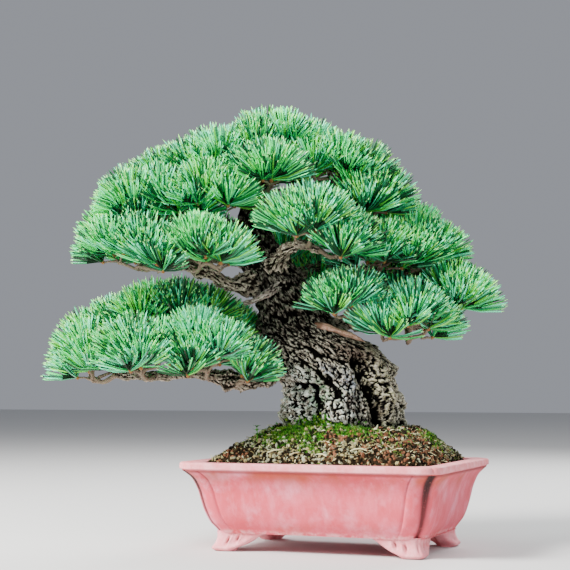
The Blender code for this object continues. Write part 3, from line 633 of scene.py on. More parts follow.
def soilPoint(turn, wayIn):
    # turn round the pot, and 0 at the pot's wall to 1 at the seat under the trunk
    turn, wayIn = np.asarray(turn, float), np.asarray(wayIn, float)
    ring = innerRing(pot["soilEdge"], 0.3)
    angles = np.unwrap(np.arctan2(ring[:, 1], ring[:, 0]))
    order = np.argsort(angles % (2 * math.pi))
    known = (angles % (2 * math.pi))[order]
    reach = np.linalg.norm(ring[:, :2], axis=1)[order]
    edge = np.interp(turn % (2 * math.pi), known, reach, period=2 * math.pi)
    edgeX, edgeY = edge * np.cos(turn), edge * np.sin(turn)
    inTree = turn - treeTurn
    seat = treeToPot(np.stack([soil["seatMiddle"][0] + soil["seatHalf"][0] * np.cos(inTree),
                               soil["seatMiddle"][1] + soil["seatHalf"][1] * np.sin(inTree),
                               np.zeros_like(inTree)], -1))
    way, rise = np.array(soil["rise"]).T
    up = pot["soilEdge"] + (soil["seatUp"] - pot["soilEdge"]) * np.interp(wayIn, way, rise)
    x = edgeX + (seat[..., 0] - edgeX) * wayIn
    y = edgeY + (seat[..., 1] - edgeY) * wayIn
    return np.stack([x, y, up], -1)


def soilSurface(points):
    # the same lumps wherever they are asked for
    lift = [noise.fractal(Vector(p) / soil["lump"], 1.0, 2.0, 3) * soil["rough"] for p in points]
    return points + np.stack([np.zeros(len(points)), np.zeros(len(points)), lift], -1)


def crumbShapes():
    # a few rough grains, made from twenty-sided balls
    golden = (1 + math.sqrt(5)) / 2
    ball = unit(np.array([(-1, golden, 0), (1, golden, 0), (-1, -golden, 0), (1, -golden, 0),
                          (0, -1, golden), (0, 1, golden), (0, -1, -golden), (0, 1, -golden),
                          (golden, 0, -1), (golden, 0, 1), (-golden, 0, -1), (-golden, 0, 1)], float))
    faces = np.array([(0, 11, 5), (0, 5, 1), (0, 1, 7), (0, 7, 10), (0, 10, 11), (1, 5, 9), (5, 11, 4),
                      (11, 10, 2), (10, 7, 6), (7, 1, 8), (3, 9, 4), (3, 4, 2), (3, 2, 6), (3, 6, 8),
                      (3, 8, 9), (4, 9, 5), (2, 4, 11), (6, 2, 10), (8, 6, 7), (9, 8, 1)])
    rough = np.random.default_rng(11)
    return [ball * rough.uniform(0.62, 1.15, (12, 1)) * rough.uniform(0.6, 1.2, 3) for _ in range(12)], faces


def turnAbout(rng, count):
    # random rotations, as count x 3 x 3
    first = unit(rng.normal(size=(count, 3)))
    second, third = sidesOf(first)
    spin = rng.uniform(0, 2 * math.pi, (count, 1))
    return np.stack([second * np.cos(spin) + third * np.sin(spin),
                     third * np.cos(spin) - second * np.sin(spin), first], 1)


def onMound(rng, count, inFrom=0.02, inTo=1.22):
    turn = rng.uniform(0, 2 * math.pi, count)
    wayIn = inFrom + (inTo - inFrom) * (1 - np.sqrt(rng.uniform(0, 1, count))) ** 0.85
    return soilSurface(soilPoint(turn, wayIn))


def onSpot(turn, wayIn):
    return soilSurface(soilPoint(np.radians([turn]), np.array([wayIn])))[0]


def dryPatch(points, size, seed):
    return np.array([noise.noise(Vector(p) / size + Vector((seed, seed, 0))) for p in points])


def dealt(pick, mix):
    return next(finish for reach, finish in mix if pick < reach)


def layCrumbs(heap):
    rng = np.random.default_rng(21)
    places = onMound(rng, soil["crumbs"])
    shapes, faces = crumbShapes()
    size = rng.uniform(*soil["crumbSize"], len(places))
    rotations = turnAbout(rng, len(places))
    brown = dryPatch(places, *soil["brownPatch"])
    for i, place in enumerate(places):
        points = (shapes[i % len(shapes)] * size[i]) @ rotations[i] + place
        # redder in front on the right
        reddish = 0.55 * brown[i] + 0.45 * smoothStep(place[0], 10, 70) * (place[1] < 10)
        mix = reddishMix if reddish > soil["reddishFrom"] else paleMix
        heap.add(points, faces, finish=dealt(rng.uniform(), mix))


def curledStrip(length, width, curl, segments=4):
    # a thin strip that curls over, with a little thickness
    t = np.linspace(0, 1, segments + 1)
    angle = (t - 0.5) * curl
    radius = length / max(curl, 0.05)
    lift = np.cos(angle) - math.cos(curl / 2)
    middle = np.stack([radius * np.sin(angle), np.zeros_like(t), radius * lift], -1)
    half = width / 2 * np.sin(np.pi * np.clip(t, 0.12, 0.88))
    side = np.stack([np.zeros_like(t), half, np.zeros_like(t)], -1)
    thick = np.array([0, 0, 0.12])
    rings = np.stack([middle + side, middle + thick, middle - side, middle - thick], 1)
    return closedSkin(rings[:, ::-1])


def layFlakes(heap):
    rng = np.random.default_rng(31)
    places = onMound(rng, soil["flakes"])
    rotations = turnAbout(rng, len(places))
    green = dryPatch(places, *soil["greenPatch"])
    for i, place in enumerate(places):
        strip, quads, caps = curledStrip(rng.uniform(*soil["flakeLength"]), rng.uniform(*soil["flakeWidth"]),
                                         rng.uniform(*soil["flakeCurl"]))
        pick = rng.uniform()
        finish = 6 if green[i] > soil["greenFrom"] and pick > 0.45 else dealt(pick, flakeMix)
        heap.add(strip @ rotations[i] + place + [0, 0, soil["flakeLift"]], quads, caps, finish=finish)


def layStraws(heap):
    rng = np.random.default_rng(41)
    for place in onMound(rng, soil["straws"], 0.05, 1.0):
        heading = rng.uniform(0, 2 * math.pi)
        ahead = np.array([math.cos(heading), math.sin(heading), rng.uniform(-0.15, 0.35)])
        length = rng.uniform(*soil["strawLength"])
        path = place + [0, 0, soil["strawLift"]] + ahead * np.linspace(-0.5, 0.5, 4)[:, None] * length
        path[:, 2] += rng.uniform(-0.8, 0.8, 4)
        rings = path[:, None] + sweep(path, 4) * rng.uniform(*soil["strawRadius"])
        heap.add(*closedSkin(rings), finish=5 if rng.uniform() < 0.6 else 3)
    for turn, wayIn, heading, length in soil["longStraws"]:
        ahead = np.array([math.cos(math.radians(heading)), math.sin(math.radians(heading)), 0.05])
        path = onSpot(turn, wayIn) + [0, 0, soil["longLift"]]
        path = path + ahead * np.linspace(-0.5, 0.5, 5)[:, None] * length
        path[:, 2] += np.array(soil["longBend"])
        heap.add(*closedSkin(path[:, None] + sweep(path, 5) * soil["longRadius"]), finish=5)


# Moss: beds on the soil, tufts that climb the trunk's foot, and a little seedling at the front left
moss = {
    "tufts": 2300, "leaves": 9, "length": (1.8, 3.4), "leafFoot": (0.32, 0.16, 0.28),
    # turn round the pot in degrees, way in, spread of both, share of the tufts
    "beds": [(-120, 0.84, 18, 0.24, 0.34), (-93, 0.42, 7, 0.10, 0.10), (-70, 0.90, 16, 0.16, 0.12),
             (-104, 0.62, 20, 0.20, 0.10), (10, 0.55, 16, 0.22, 0.14), (95, 0.85, 30, 0.2, 0.12),
             (190, 0.75, 22, 0.22, 0.08)],
    "climbing": 420, "climbTurn": (-116, 17), "climbUp": 4.6, "climbSunk": 1, "climbOut": 0.5,
    "climbLeaves": 8, "climbLength": (1.6, 3.0), "dealing": [0, 0, 1, 1, 2],
}
mossColours = [("deep moss", (0.012, 0.055, 0.006)), ("fresh moss", (0.055, 0.27, 0.016)),
               ("yellow moss", (0.24, 0.42, 0.04))]
seedling = {"turn": -136.0, "wayIn": 0.58, "stemRadius": 0.35, "leafWidth": 1.7,
            "stem": [(0, 0, -1), (0.3, 0, 4), (0.1, 0.2, 8), (-0.3, 0.2, 11.5)],
            "whorls": [(5, 3.0), (8, 3.4), (11, 3.0)]}    # height and spread


def mossTuft(rng, place, leaves, length):
    # slim leaves that stand out of one foot
    turn = rng.uniform(0, 2 * math.pi, leaves)
    lean = rng.uniform(0.15, 1.1, leaves)
    out = np.stack([np.cos(turn) * np.sin(lean), np.sin(turn) * np.sin(lean), np.cos(lean)], -1)
    first, second = sidesOf(out)
    size = length * rng.uniform(0.6, 1.1, (leaves, 1))
    front, back, side = moss["leafFoot"]
    corners = [place + first * front, place - first * back + second * side,
               place - first * back - second * side, place + out * size]
    start = np.arange(leaves)[:, None] * 4
    faces = np.concatenate([start + [0, 1, 3], start + [1, 2, 3], start + [2, 0, 3], start + [0, 2, 1]])
    return np.stack(corners, 1).reshape(-1, 3), faces


def layTufts(heap, rng, places, leaves, lengths):
    for place in places:
        points, faces = mossTuft(rng, place, leaves, rng.uniform(*lengths))
        heap.add(points, faces, finish=int(rng.choice(moss["dealing"])))


def layMoss(heap):
    rng = np.random.default_rng(51)
    for turn, wayIn, turnSpread, waySpread, share in moss["beds"]:
        count = int(moss["tufts"] * share)
        turns = np.radians(turn + rng.normal(0, turnSpread / 1.6, count))
        ways = np.clip(wayIn + rng.normal(0, waySpread / 1.6, count), 0.03, 1.2)
        layTufts(heap, rng, soilSurface(soilPoint(turns, ways)), moss["leaves"], moss["length"])
    turns = np.radians(rng.normal(*moss["climbTurn"], moss["climbing"]))
    ups = np.abs(rng.normal(0, moss["climbUp"], moss["climbing"])) - moss["climbSunk"]
    section = trunkSection(np.maximum(ups, 0))
    wide = section[:, 2:] * trunkSwell(turns, np.maximum(ups, 0))[:, None] + moss["climbOut"]
    places = np.stack([section[:, 0] + wide[:, 0] * np.cos(turns), section[:, 1] + wide[:, 1] * np.sin(turns),
                       soil["seatUp"] + ups], -1)
    layTufts(heap, rng, treeToPot(places), moss["climbLeaves"], moss["climbLength"])


def growSeedling(heap):
    root = onSpot(seedling["turn"], seedling["wayIn"])
    path = root + np.array(seedling["stem"])
    heap.add(*closedSkin(path[:, None] + sweep(path, 5) * seedling["stemRadius"]), finish=1)
    rng = np.random.default_rng(61)
    for height, spread in seedling["whorls"]:
        leaf, quads, caps = curledStrip(spread * 1.3, seedling["leafWidth"], 0.7)
        for k in range(4):
            turn = k * math.pi / 2 + height
            out = unit(np.array([math.cos(turn), math.sin(turn), 0.45]))
            side = np.array([-math.sin(turn), math.cos(turn), 0])
            standing = (leaf + [spread / 2, 0, 0]) @ np.stack([out, side, np.cross(out, side)])
            heap.add(standing + (root + [0, 0, height]), quads, caps, finish=int(rng.integers(0, 2)))


def plainFinish(name, colour, roughness=0.85, grain=0.0, scale=500):
    finish, tree, shader = newFinish(name, roughness, colour, 0.08)
    if grain:
        dark = tuple(c * (1 - grain) for c in colour)
        light = tuple(min(c * (1 + grain), 1) for c in colour)
        tree.links.new(mixColours(tree, patternOf(tree, scale, 3), dark, light), shader.inputs["Base Color"])
    return finish


def soilFinish():
    # near-black earth under the crumbs: dark soil, made darker still as painted shade in the gaps between
    # crumbs
    finish, tree, shader = newFinish("near-black earth with painted gap shade", 0.95, specular=0.05)
    earth = mixColours(tree, between(tree, patternOf(tree, 260, 5, 0.7), 0.35, 0.65),
                       (0.006, 0.004, 0.002), (0.025, 0.017, 0.009))
    tree.links.new(earth, shader.inputs["Base Color"])
    addBump(tree, shader, patternOf(tree, 600, 4, 0.7), 0.8)
    return finish


def buildSoil():
    turn, wayIn = np.meshgrid(np.linspace(0, 2 * math.pi, soil["columns"], endpoint=False),
                              np.linspace(0, soil["rise"][-1][0], soil["rows"]))
    top = soilPoint(turn, wayIn)
    raised = soilSurface(top.reshape(-1, 3)).reshape(top.shape)
    raised[0] = top[0]
    below = top[:1] - [0, 0, soil["below"]]
    heap = Heap()
    heap.add(*closedSkin(np.concatenate([below, raised])))
    makePiece("soilMound", heap, [soilFinish()], ["soil"], place=inPotFrame)
    finishes = [plainFinish(name, colour, 0.9, 0.3, 900) for name, colour in crumbColours]
    crumbs, flakes, tufts = Heap(), Heap(), Heap()
    layCrumbs(crumbs)
    makePiece("soilCrumbs", crumbs, finishes, place=inPotFrame, smooth=False)
    layFlakes(flakes)
    layStraws(flakes)
    makePiece("curledFlakes", flakes, finishes, place=inPotFrame, smooth=False)
    layMoss(tufts)
    growSeedling(tufts)
    finishes = [plainFinish(name, colour, 0.7) for name, colour in mossColours]
    makePiece("greenMoss", tufts, finishes, place=inPotFrame, smooth=False)
    print("soil:", faceCount(crumbs), "crumb faces,", faceCount(tufts), "moss")


# Trunk: up above the seat, middle across and back, half width across and back
trunkSections = [
    (0, 5, -5, 45.5, 41), (11, 3, -5, 47, 41), (22, 3, -4, 47, 40), (33, 2, -4, 43.5, 38),
    (46, -2, -3, 48, 39), (58, -9, -2, 48, 38), (66, -15, -1, 46, 35), (73, -24, 0, 39, 32),
    (82, -32, 0, 33.5, 29), (96, -38, 1, 28, 26), (111, -46, 2, 25, 23.5), (128, -55, 4, 23.5, 21),
    (146, -64, 5, 19, 17), (162, -69, 4, 14.5, 14), (178, -67, 2, 11, 11), (192, -62, 0, 8, 8),
    (203, -57, -1, 5.5, 5.5),
]
trunk = {
    "sides": 400, "lowRows": 150, "highRows": 90, "rowsMeet": 86, "below": 3.0, "flare": 0.10,
    "buttresses": 7, "buttressTurn": 0.8, "flareHeight": 60, "flake": 4.9, "relief": 1.0,
    "squeeze": 1.3, "roundness": 45, "slimmest": 0.28, "fullRadius": 34, "finePit": 3, "broadPit": 9,
    # where the painted shadow of the crown starts on the upper trunk, how fast it comes in and how strong
    "mossUpTo": 7, "mossShare": 0.6, "crownShadowFrom": (58, 14), "crownShadowRun": 22, "crownShadowShare": 0.88,
}
# Lumps and furrows: from turn (degrees) and up to turn and up, half width and rise (mm)
trunkLand = [
    (-137, 19, -137, 19, 13, 4.0), (-92, 12, -92, 12, 13, 3.6), (-36, 6, -36, 58, 7, 3.0),
    (-77, 34, -79, 43, 8, 2.8), (-101, 45, -101, 45, 4.5, 3.6), (-127, 41, -127, 41, 8, 3.0),
    (-9, 47, -9, 47, 3, 3.0), (-60, 62, -95, 66, 7, 2.4), (-14, 20, -14, 20, 9, 2.0),
    (-122, 52, -94, 27, 4.6, -6.5), (-64, 48, -49, 0, 6.4, -9.5), (-60, 42, -47, 0, 10, -2.5),
    (-121, 34, -117, 10, 3.2, -4.6), (-158, 36, -124, 33, 3.0, -5.0), (-108, 62, -90, 54, 3.0, -3.5),
    (-84, 52, -64, 51, 4, -2.8), (-70, 30, -74, 4, 2.6, -2.6),
    (60, 10, 55, 50, 12, 3.5), (110, 8, 112, 40, 11, 3.5), (160, 14, 158, 44, 12, 3.5),
    (85, 4, 80, 52, 4, -5.0), (136, 4, 130, 46, 4, -5.0), (185, 6, 178, 40, 4, -4.0),
    (25, 2, 30, 40, 4, -4.5), (95, 62, 120, 66, 7, 3.0),
]


def trunkSection(up):
    rows = np.array(trunkSections, float)
    return np.stack([np.interp(up, rows[:, 0], rows[:, i]) for i in range(1, 5)], -1)


# Bark's shape: waves, widths and rises are all in sizes of its flakes
barkShape = {
    "bends": [(1.3, 0.75), (0.5, 0.34)], "tornWave": 2.1, "gapWide": (0.08, 0.62), "seamWide": (0.10, 0.34),
    "sweep": (2.4, 1.5), "plate": 2.9, "chip": 0.42, "chipGapWide": 0.42, "chipShift": (5, 2, 8),
    "ridge": (0.9, 3.0), "lumpWave": 3.0, "grainWave": 0.2,
    "lumps": 0.60, "flakes": 0.18, "tilts": 0.30, "ridges": 0.20, "seams": 0.58, "gaps": 0.40,
    "chipGaps": 0.16, "chips": 0.14, "grain": 0.09, "tones": (0.45, 0.33, 0.30),
}


def gapShare(near, wide):
    # 1 on the line between two cells, 0 where the gap ends
    return max(0.0, 1 - (near[1] - near[0]) / wide)


def barkRelief(spots, size, seed):
    # craggy bark: plates parted by seams, and on them tilted flakes and chips torn apart by winding
    # gaps; gives how far each spot rises (mm) and its flake's own tone
    shape = barkShape
    rise, tone = np.empty(len(spots)), np.empty(len(spots))
    shift, chipShift = Vector((seed, seed * 1.7, seed * 0.6)), Vector(shape["chipShift"])
    for i, spot in enumerate(spots):
        spot = Vector(spot) + shift
        bent = spot.copy()
        for wave, by in shape["bends"]:
            bent += noise.noise_vector(spot / (size * wave)) * size * by
        wave, by = shape["sweep"]
        swept = spot + noise.noise_vector(spot / (size * wave)) * size * by
        near, centres = noise.voronoi(bent / size)
        chips, chipCentres = noise.voronoi(bent / (size * shape["chip"]) + chipShift)
        plates, _ = noise.voronoi(swept / (size * shape["plate"]))
        torn = 0.5 + 0.5 * noise.noise(spot / (size * shape["tornWave"]))
        gapWide, seamWide = [least + more * torn for least, more in (shape["gapWide"], shape["seamWide"])]
        tilt = (bent / size - centres[0]).dot(noise.cell_vector(centres[0] * 3.7) * 2 - Vector((1, 1, 1)))
        chip = noise.cell(chipCentres[0] * 5.3)
        wave, steep = shape["ridge"]
        ridge = 1 - abs(noise.noise(bent / (size * wave))) * steep
        lumps = noise.fractal(spot / (size * shape["lumpWave"]), 1.0, 2.0, 3)
        rise[i] = (shape["lumps"] * lumps + shape["flakes"] * noise.cell(centres[0] * 7.1)
                   + shape["tilts"] * tilt + shape["ridges"] * ridge
                   - shape["seams"] * gapShare(plates, seamWide) - shape["gaps"] * gapShare(near, gapWide)
                   - shape["chipGaps"] * gapShare(chips, shape["chipGapWide"]) + shape["chips"] * chip
                   + shape["grain"] * noise.noise(spot / (size * shape["grainWave"])))
        least, flakeTone, chipTone = shape["tones"]
        tone[i] = least + flakeTone * noise.cell(centres[0] * 9.7) + chipTone * chip
    return rise * size, tone


def blurred(field, reach):
    # the mean round each spot of a grid whose columns close round on themselves
    rows = np.arange(len(field))
    steps = range(-reach, reach + 1)
    field = sum(field[np.clip(rows + step, 0, len(field) - 1)] for step in steps) / len(steps)
    return sum(np.roll(field, step, 1) for step in steps) / len(steps)


def shadedPitsAndLitCrests(rise, fine, broad):
    # how much painted shade each spot gets in a gap, and how much painted highlight where it stands out, both
    # 0 to 1
    near, far = blurred(rise, fine) - rise, blurred(rise, broad) - rise
    shadedPits = np.clip(smoothStep(near, -0.05, 0.42) + smoothStep(far, 0.2, 1.6), 0, 1)
    return shadedPits, smoothStep(-near, 0.10, 0.60) * (1 - smoothStep(far, 0.0, 1.2))


def trunkSwell(turn, up):
    flare = np.maximum(0, 1 - up / trunk["flareHeight"])
    return 1 + trunk["flare"] * flare * np.sin(trunk["buttresses"] * turn + trunk["buttressTurn"])


def turnFrom(turn, degrees):
    # how far round from one direction, -pi to pi
    return (turn - math.radians(degrees) + math.pi) % (2 * math.pi) - math.pi


def landLift(turn, up):
    lift = np.zeros_like(up)
    for startTurn, startUp, endTurn, endUp, wide, rise in trunkLand:
        spot = np.stack([turnFrom(turn, startTurn) * trunk["roundness"], up - startUp], -1)
        along = np.array([math.radians(endTurn - startTurn) * trunk["roundness"], endUp - startUp])
        share = np.clip(spot @ along / max(along @ along, 1e-6), 0, 1)
        off = np.linalg.norm(spot - share[..., None] * along, axis=-1)
        lift += rise * np.exp(-(off / wide) ** 2)
    return lift


def trunkRings():
    top, meet = trunkSections[-1][0], trunk["rowsMeet"]
    up = np.concatenate([np.linspace(-trunk["below"], meet, trunk["lowRows"]),
                         np.linspace(meet, top, trunk["highRows"] + 1)[1:]])
    turn = 2 * math.pi * np.arange(trunk["sides"]) / trunk["sides"]
    up, turn = np.meshgrid(up, turn, indexing="ij")
    above = np.maximum(up, 0)
    section = trunkSection(above)
    swell = trunkSwell(turn, above)
    wideX, wideY = section[..., 2] * swell, section[..., 3] * swell
    local = np.stack([wideX * np.cos(turn), wideY * np.sin(turn), up / trunk["squeeze"]], -1)
    rise, tone = barkRelief(local.reshape(-1, 3), trunk["flake"], 4.0)
    slim = np.clip((wideX + wideY) / 2 / trunk["fullRadius"], trunk["slimmest"], 1)
    rise = rise.reshape(up.shape) * slim * trunk["relief"] + landLift(turn, above)
    points = np.stack([section[..., 0] + (wideX + rise) * np.cos(turn),
                       section[..., 1] + (wideY + rise) * np.sin(turn), soil["seatUp"] + up], -1)
    return points, rise, tone.reshape(up.shape), turn, up


def spotOn(turn, up, turnAt, upAt, turnWide, upWide):
    off = turnFrom(turn, turnAt) / math.radians(turnWide)
    return np.exp(-off ** 2 - ((up - upAt) / upWide) ** 2)


# Patches on the bark: strength, turn and up of the middle, half width in degrees and in mm
barkPatches = {
    "paleLichen": [(1.15, -137, 20, 20, 18), (1.0, -94, 12, 20, 13), (0.7, 180, 30, 40, 30),
                   (0.6, 90, 20, 60, 20), (0.8, -128, 41, 9, 7)],
    "blueLichen": [(0.9, -80, 34, 12, 12), (0.8, -101, 45, 6, 5), (0.4, 120, 50, 30, 14)],
    "oliveLichen": [(0.8, -38, 34, 20, 34), (0.8, -66, 40, 9, 14), (0.6, 40, 30, 50, 30)],
    "greenFilm": [(0.8, -118, 26, 10, 16), (0.5, -100, 27, 20, 6), (0.4, 150, 12, 60, 14)],
    "maroon": [(0.72, -62, 60, 26, 10), (0.7, -84, 20, 6, 8), (0.6, -50, 12, 8, 10)],
}
lichens = [("paleLichen", 240, 4.4, (0.78, 0.86, 0.76)), ("blueLichen", 300, 7.9, (0.44, 0.51, 0.60)),
           ("oliveLichen", 330, 6.1, (0.54, 0.52, 0.30)), ("greenFilm", 300, 2.7, (0.11, 0.30, 0.13))]
# maroon patches, the moss film at the foot, and the painted shadow of the crown over the upper trunk
tintsAndCrownShadow = [("maroon", (0.060, 0.024, 0.016)), ("mossy", (0.06, 0.13, 0.02)), ("gloom", (0.012, 0.010, 0.008))]


def barkFinish(name, dark, mid, light, gap, lichen=True, scale=1.0, blotShare=0.85):
    finish, tree, shader = newFinish(name, 0.95, specular=0.04)
    bark = mixColours(tree, patches(tree, 0.36, 0.62, 130 * scale, 6, 0.72), dark, mid)
    bark = layOver(tree, bark, light, between(tree, paintOf(tree, "tone"), 0.30, 0.85),
                   patches(tree, 0.40, 0.60, 430 * scale, 5, 0.75, (1, 1, 0.6), shift=2.2), 0.8)
    # painted highlight on the crests that stand out
    bark = layOver(tree, bark, tuple(min(c * 1.25, 0.8) for c in light), paintOf(tree, "crest"),
                   patches(tree, 0.38, 0.60, 700 * scale, 4, 0.7, shift=3.3), 0.85)
    if lichen:
        for layer, waves, shift, colour in lichens:
            bark = layOver(tree, bark, colour, paintOf(tree, layer),
                           patches(tree, 0.45, 0.57, waves, 5, 0.75, shift=shift))
        for layer, colour in tintsAndCrownShadow:
            bark = layOver(tree, bark, colour, paintOf(tree, layer))
    bark = layOver(tree, bark, gap,
                   patches(tree, 0.50, 0.40, 300 * scale, 5, 0.8, (1, 1, 0.8), shift=4.9), blotShare)
    # painted shade in the pits and gaps of the relief
    bark = layOver(tree, bark, gap, between(tree, paintOf(tree, "pit"), 0.05, 0.70))
    tree.links.new(bark, shader.inputs["Base Color"])
    grain = maths(tree, "ADD", patternOf(tree, 900 * scale, 5, 0.75, (1, 1, 0.7)),
                  patternOf(tree, 300 * scale, 4, 0.7))
    addBump(tree, shader, grain, 1.0, 0.9)
    return finish


def paintLayer(values):
    # one value for each point of a closed skin, 0 on the middles of its ends
    return np.concatenate([np.clip(values, 0, 1).ravel(), [0, 0]])


def buildTrunk():
    rings, rise, tone, turn, up = trunkRings()
    heap = Heap()
    heap.add(*closedSkin(rings))
    shadedPits, litCrests = shadedPitsAndLitCrests(rise, trunk["finePit"], trunk["broadPit"])
    paint = {"pit": shadedPits, "crest": litCrests, "tone": tone,
             "mossy": smoothStep(up, trunk["mossUpTo"], 0) * trunk["mossShare"]}
    for name, spots in barkPatches.items():
        paint[name] = sum(share * spotOn(turn, up, *spot) for share, *spot in spots)
    # painted shadow of the crown: the upper trunk darker, starting lower on the left side, less on the crests
    middle, swing = trunk["crownShadowFrom"]
    above = up - (middle + swing * np.cos(turn))
    paint["gloom"] = ((above > 0) * smoothStep(above, 0, trunk["crownShadowRun"]) * trunk["crownShadowShare"]
                      * (1 - 0.45 * litCrests))
    finish = barkFinish("craggy pine bark", (0.026, 0.020, 0.014), (0.13, 0.105, 0.078),
                        (0.56, 0.53, 0.42), (0.002, 0.0016, 0.0012))
    makePiece("trunkBark", heap, [finish], ["trunk"],
              paint={name: paintLayer(values) for name, values in paint.items()})
    print("trunk:", rings.shape)


# Strip of bare dead wood that lies along the trunk's shoulder
bareStrip = {
    "bends": [(-19, -24, 175.5), (-9, -25.2, 174), (2, -23.2, 170.5), (12, -20, 167.2), (22, -16, 162.5)],
    "wide": 2.9, "thinning": 0.45, "sides": 16, "rows": 60,
    # how strong, how many, how fast each wave runs along: swellings, then ridges round the strip
    "swellings": [(0.12, 11, 0), (0.08, 23, 1)], "ridges": [(0.09, 3, 6), (0.06, 7, -9)],
    "darkEnd": 2.0, "darkUpTo": 0.22, "tone": 0.65,
}


def buildBareStrip():
    share = np.linspace(0, 1, bareStrip["rows"])
    path = alongCurve(bareStrip["bends"], share)
    radius = (bareStrip["wide"] * (1 - bareStrip["thinning"] * share) * smoothStep(share, -0.25, 0.15)
              * smoothStep(share, 1.05, 0.7))
    radius = radius * (1 + sum(rise * np.sin(share * waves + start)
                               for rise, waves, start in bareStrip["swellings"]))
    turn = 2 * math.pi * np.arange(bareStrip["sides"]) / bareStrip["sides"]
    ridges = sum(rise * np.sin(count * turn + share[:, None] * twist)
                 for rise, count, twist in bareStrip["ridges"])
    outward = sweep(path, bareStrip["sides"]) * (radius[:, None] * (1 + ridges))[..., None]
    heap = Heap()
    heap.add(*closedSkin(path[:, None] + outward))
    rise = ridges * bareStrip["wide"]
    rise = rise - bareStrip["darkEnd"] * smoothStep(share, bareStrip["darkUpTo"], 0)[:, None]
    # painted shade in the grooves between the ridges, and darker towards the strip's start
    shadedPits = paintLayer(-rise * 2)
    finish = barkFinish("bare split wood", (0.42, 0.20, 0.12), (0.76, 0.43, 0.29), (0.88, 0.64, 0.50),
                        (0.12, 0.05, 0.03), lichen=False, scale=1.4, blotShare=0.25)
    makePiece("bareStrip", heap, [finish],
              paint={"pit": shadedPits * 0.5, "crest": np.zeros(len(shadedPits)),
                     "tone": np.full(len(shadedPits), bareStrip["tone"])})


# Boughs: bends (mm), thick and thin radii
boughs = {
    "low_left_bough": ([(-34, -6, 146), (-58, -14, 137), (-80, -21, 131)], 8.5, 6.8),
    "low_left_limb": ([(-74, -20, 131), (-92, -22, 134.5), (-114, -21, 138.5), (-150, -15, 136),
                       (-176, -11, 137)], 7.2, 3.2),
    "low_left_rear_limb": ([(-100, -21, 135.5), (-112, 4, 141), (-128, 24, 147)], 3.8, 2.2),
    "upper_left_bough": ([(-56, -2, 214), (-84, -18, 208), (-100, -28, 216), (-122, -36, 222),
                          (-142, -41, 221)], 8.5, 3.0),
    "left_crown_bough": ([(-62, 3, 252), (-92, -4, 258), (-120, -9, 262), (-146, -12, 258)], 6.5, 3.0),
    "front_bough": ([(-52, 0, 220), (-46, -22, 231), (-32, -38, 238), (-15, -45, 233)], 7.5, 3.6),
    "right_crown_bough": ([(-60, 4, 258), (-32, 8, 268), (-4, 10, 272), (18, 6, 266)], 6.0, 3.0),
    "right_bough": ([(-38, 8, 200), (-8, 24, 211), (24, 24, 222), (52, 14, 222)], 7.0, 3.0),
    "low_right_bough": ([(-18, 8, 176), (7, 18, 179), (40, 20, 180), (72, 10, 177), (86, 2, 179)],
                        6.5, 2.8),
    "rear_left_bough": ([(-54, 8, 222), (-78, 34, 230), (-104, 56, 234)], 6.0, 2.8),
    "rear_right_bough": ([(-44, 8, 214), (-24, 38, 224), (-2, 62, 232)], 6.0, 2.8),
    "dead_stub": ([(-44, -10, 209), (-56, -24, 201), (-66, -26, 195), (-75, -25, 193)], 4.4, 1.8),
}
limb = {"sides": 44, "step": 0.8, "taper": 0.8, "collar": 0.45, "collarLength": 11, "relief": 0.85,
        "knotEvery": 11, "knotSwell": (0.10, 0.34), "knotLength": 3.6, "barkStretch": 2.4,
        "flakeShare": 0.5, "leastFlake": 2.4, "endShare": 0.55, "pitShare": 0.7, "finePit": 2, "broadPit": 5}


def trunkMiddle(share):
    up = trunkSections[-1][0] * share
    section = trunkSection(up)
    return np.array([section[0], section[1], soil["seatUp"] + up])


def limbPoint(name, share):
    return trunkMiddle(share) if name == "trunk" else alongCurve(boughs[name][0], share)


def knobblyLimb(bends, thick, thin, seed):
    # a limb with swollen knots and craggy bark; gives its skin, the bark's rise and its tone
    bends = np.asarray(bends, float)
    length = np.linalg.norm(np.diff(bends, axis=0), axis=1).sum()
    count = max(int(length / limb["step"]), 6)
    share = np.linspace(0, 1, count)
    path = alongCurve(bends, share)
    outward = sweep(path, limb["sides"])
    along = np.concatenate([[0], np.cumsum(np.linalg.norm(np.diff(path, axis=0), axis=1))])
    radius = thick + (thin - thick) * share ** limb["taper"]
    radius = radius * (1 + limb["collar"] * np.exp(-along / limb["collarLength"]))
    knots = np.random.default_rng(seed)
    for place in knots.uniform(0.05, 0.95, max(int(length / limb["knotEvery"]), 1)):
        swell = knots.uniform(*limb["knotSwell"])
        radius = radius * (1 + swell * np.exp(-((along - place * length) / limb["knotLength"]) ** 2))
    turn = 2 * math.pi * np.arange(limb["sides"]) / limb["sides"]
    local = np.stack([radius[:, None] * np.cos(turn), radius[:, None] * np.sin(turn),
                      np.broadcast_to(along[:, None] / limb["barkStretch"], (count, limb["sides"]))], -1)
    flake = max(thick * limb["flakeShare"], limb["leastFlake"])
    rise, tone = barkRelief(local.reshape(-1, 3), flake, seed)
    rise = rise.reshape(local.shape[:2]) * (radius / thick)[:, None] * limb["relief"]
    rings = path[:, None] + outward * (radius[:, None] + rise)[..., None]
    rings[-1] = path[-1] + (rings[-1] - path[-1]) * limb["endShare"]
    return rings, rise, tone.reshape(rise.shape)


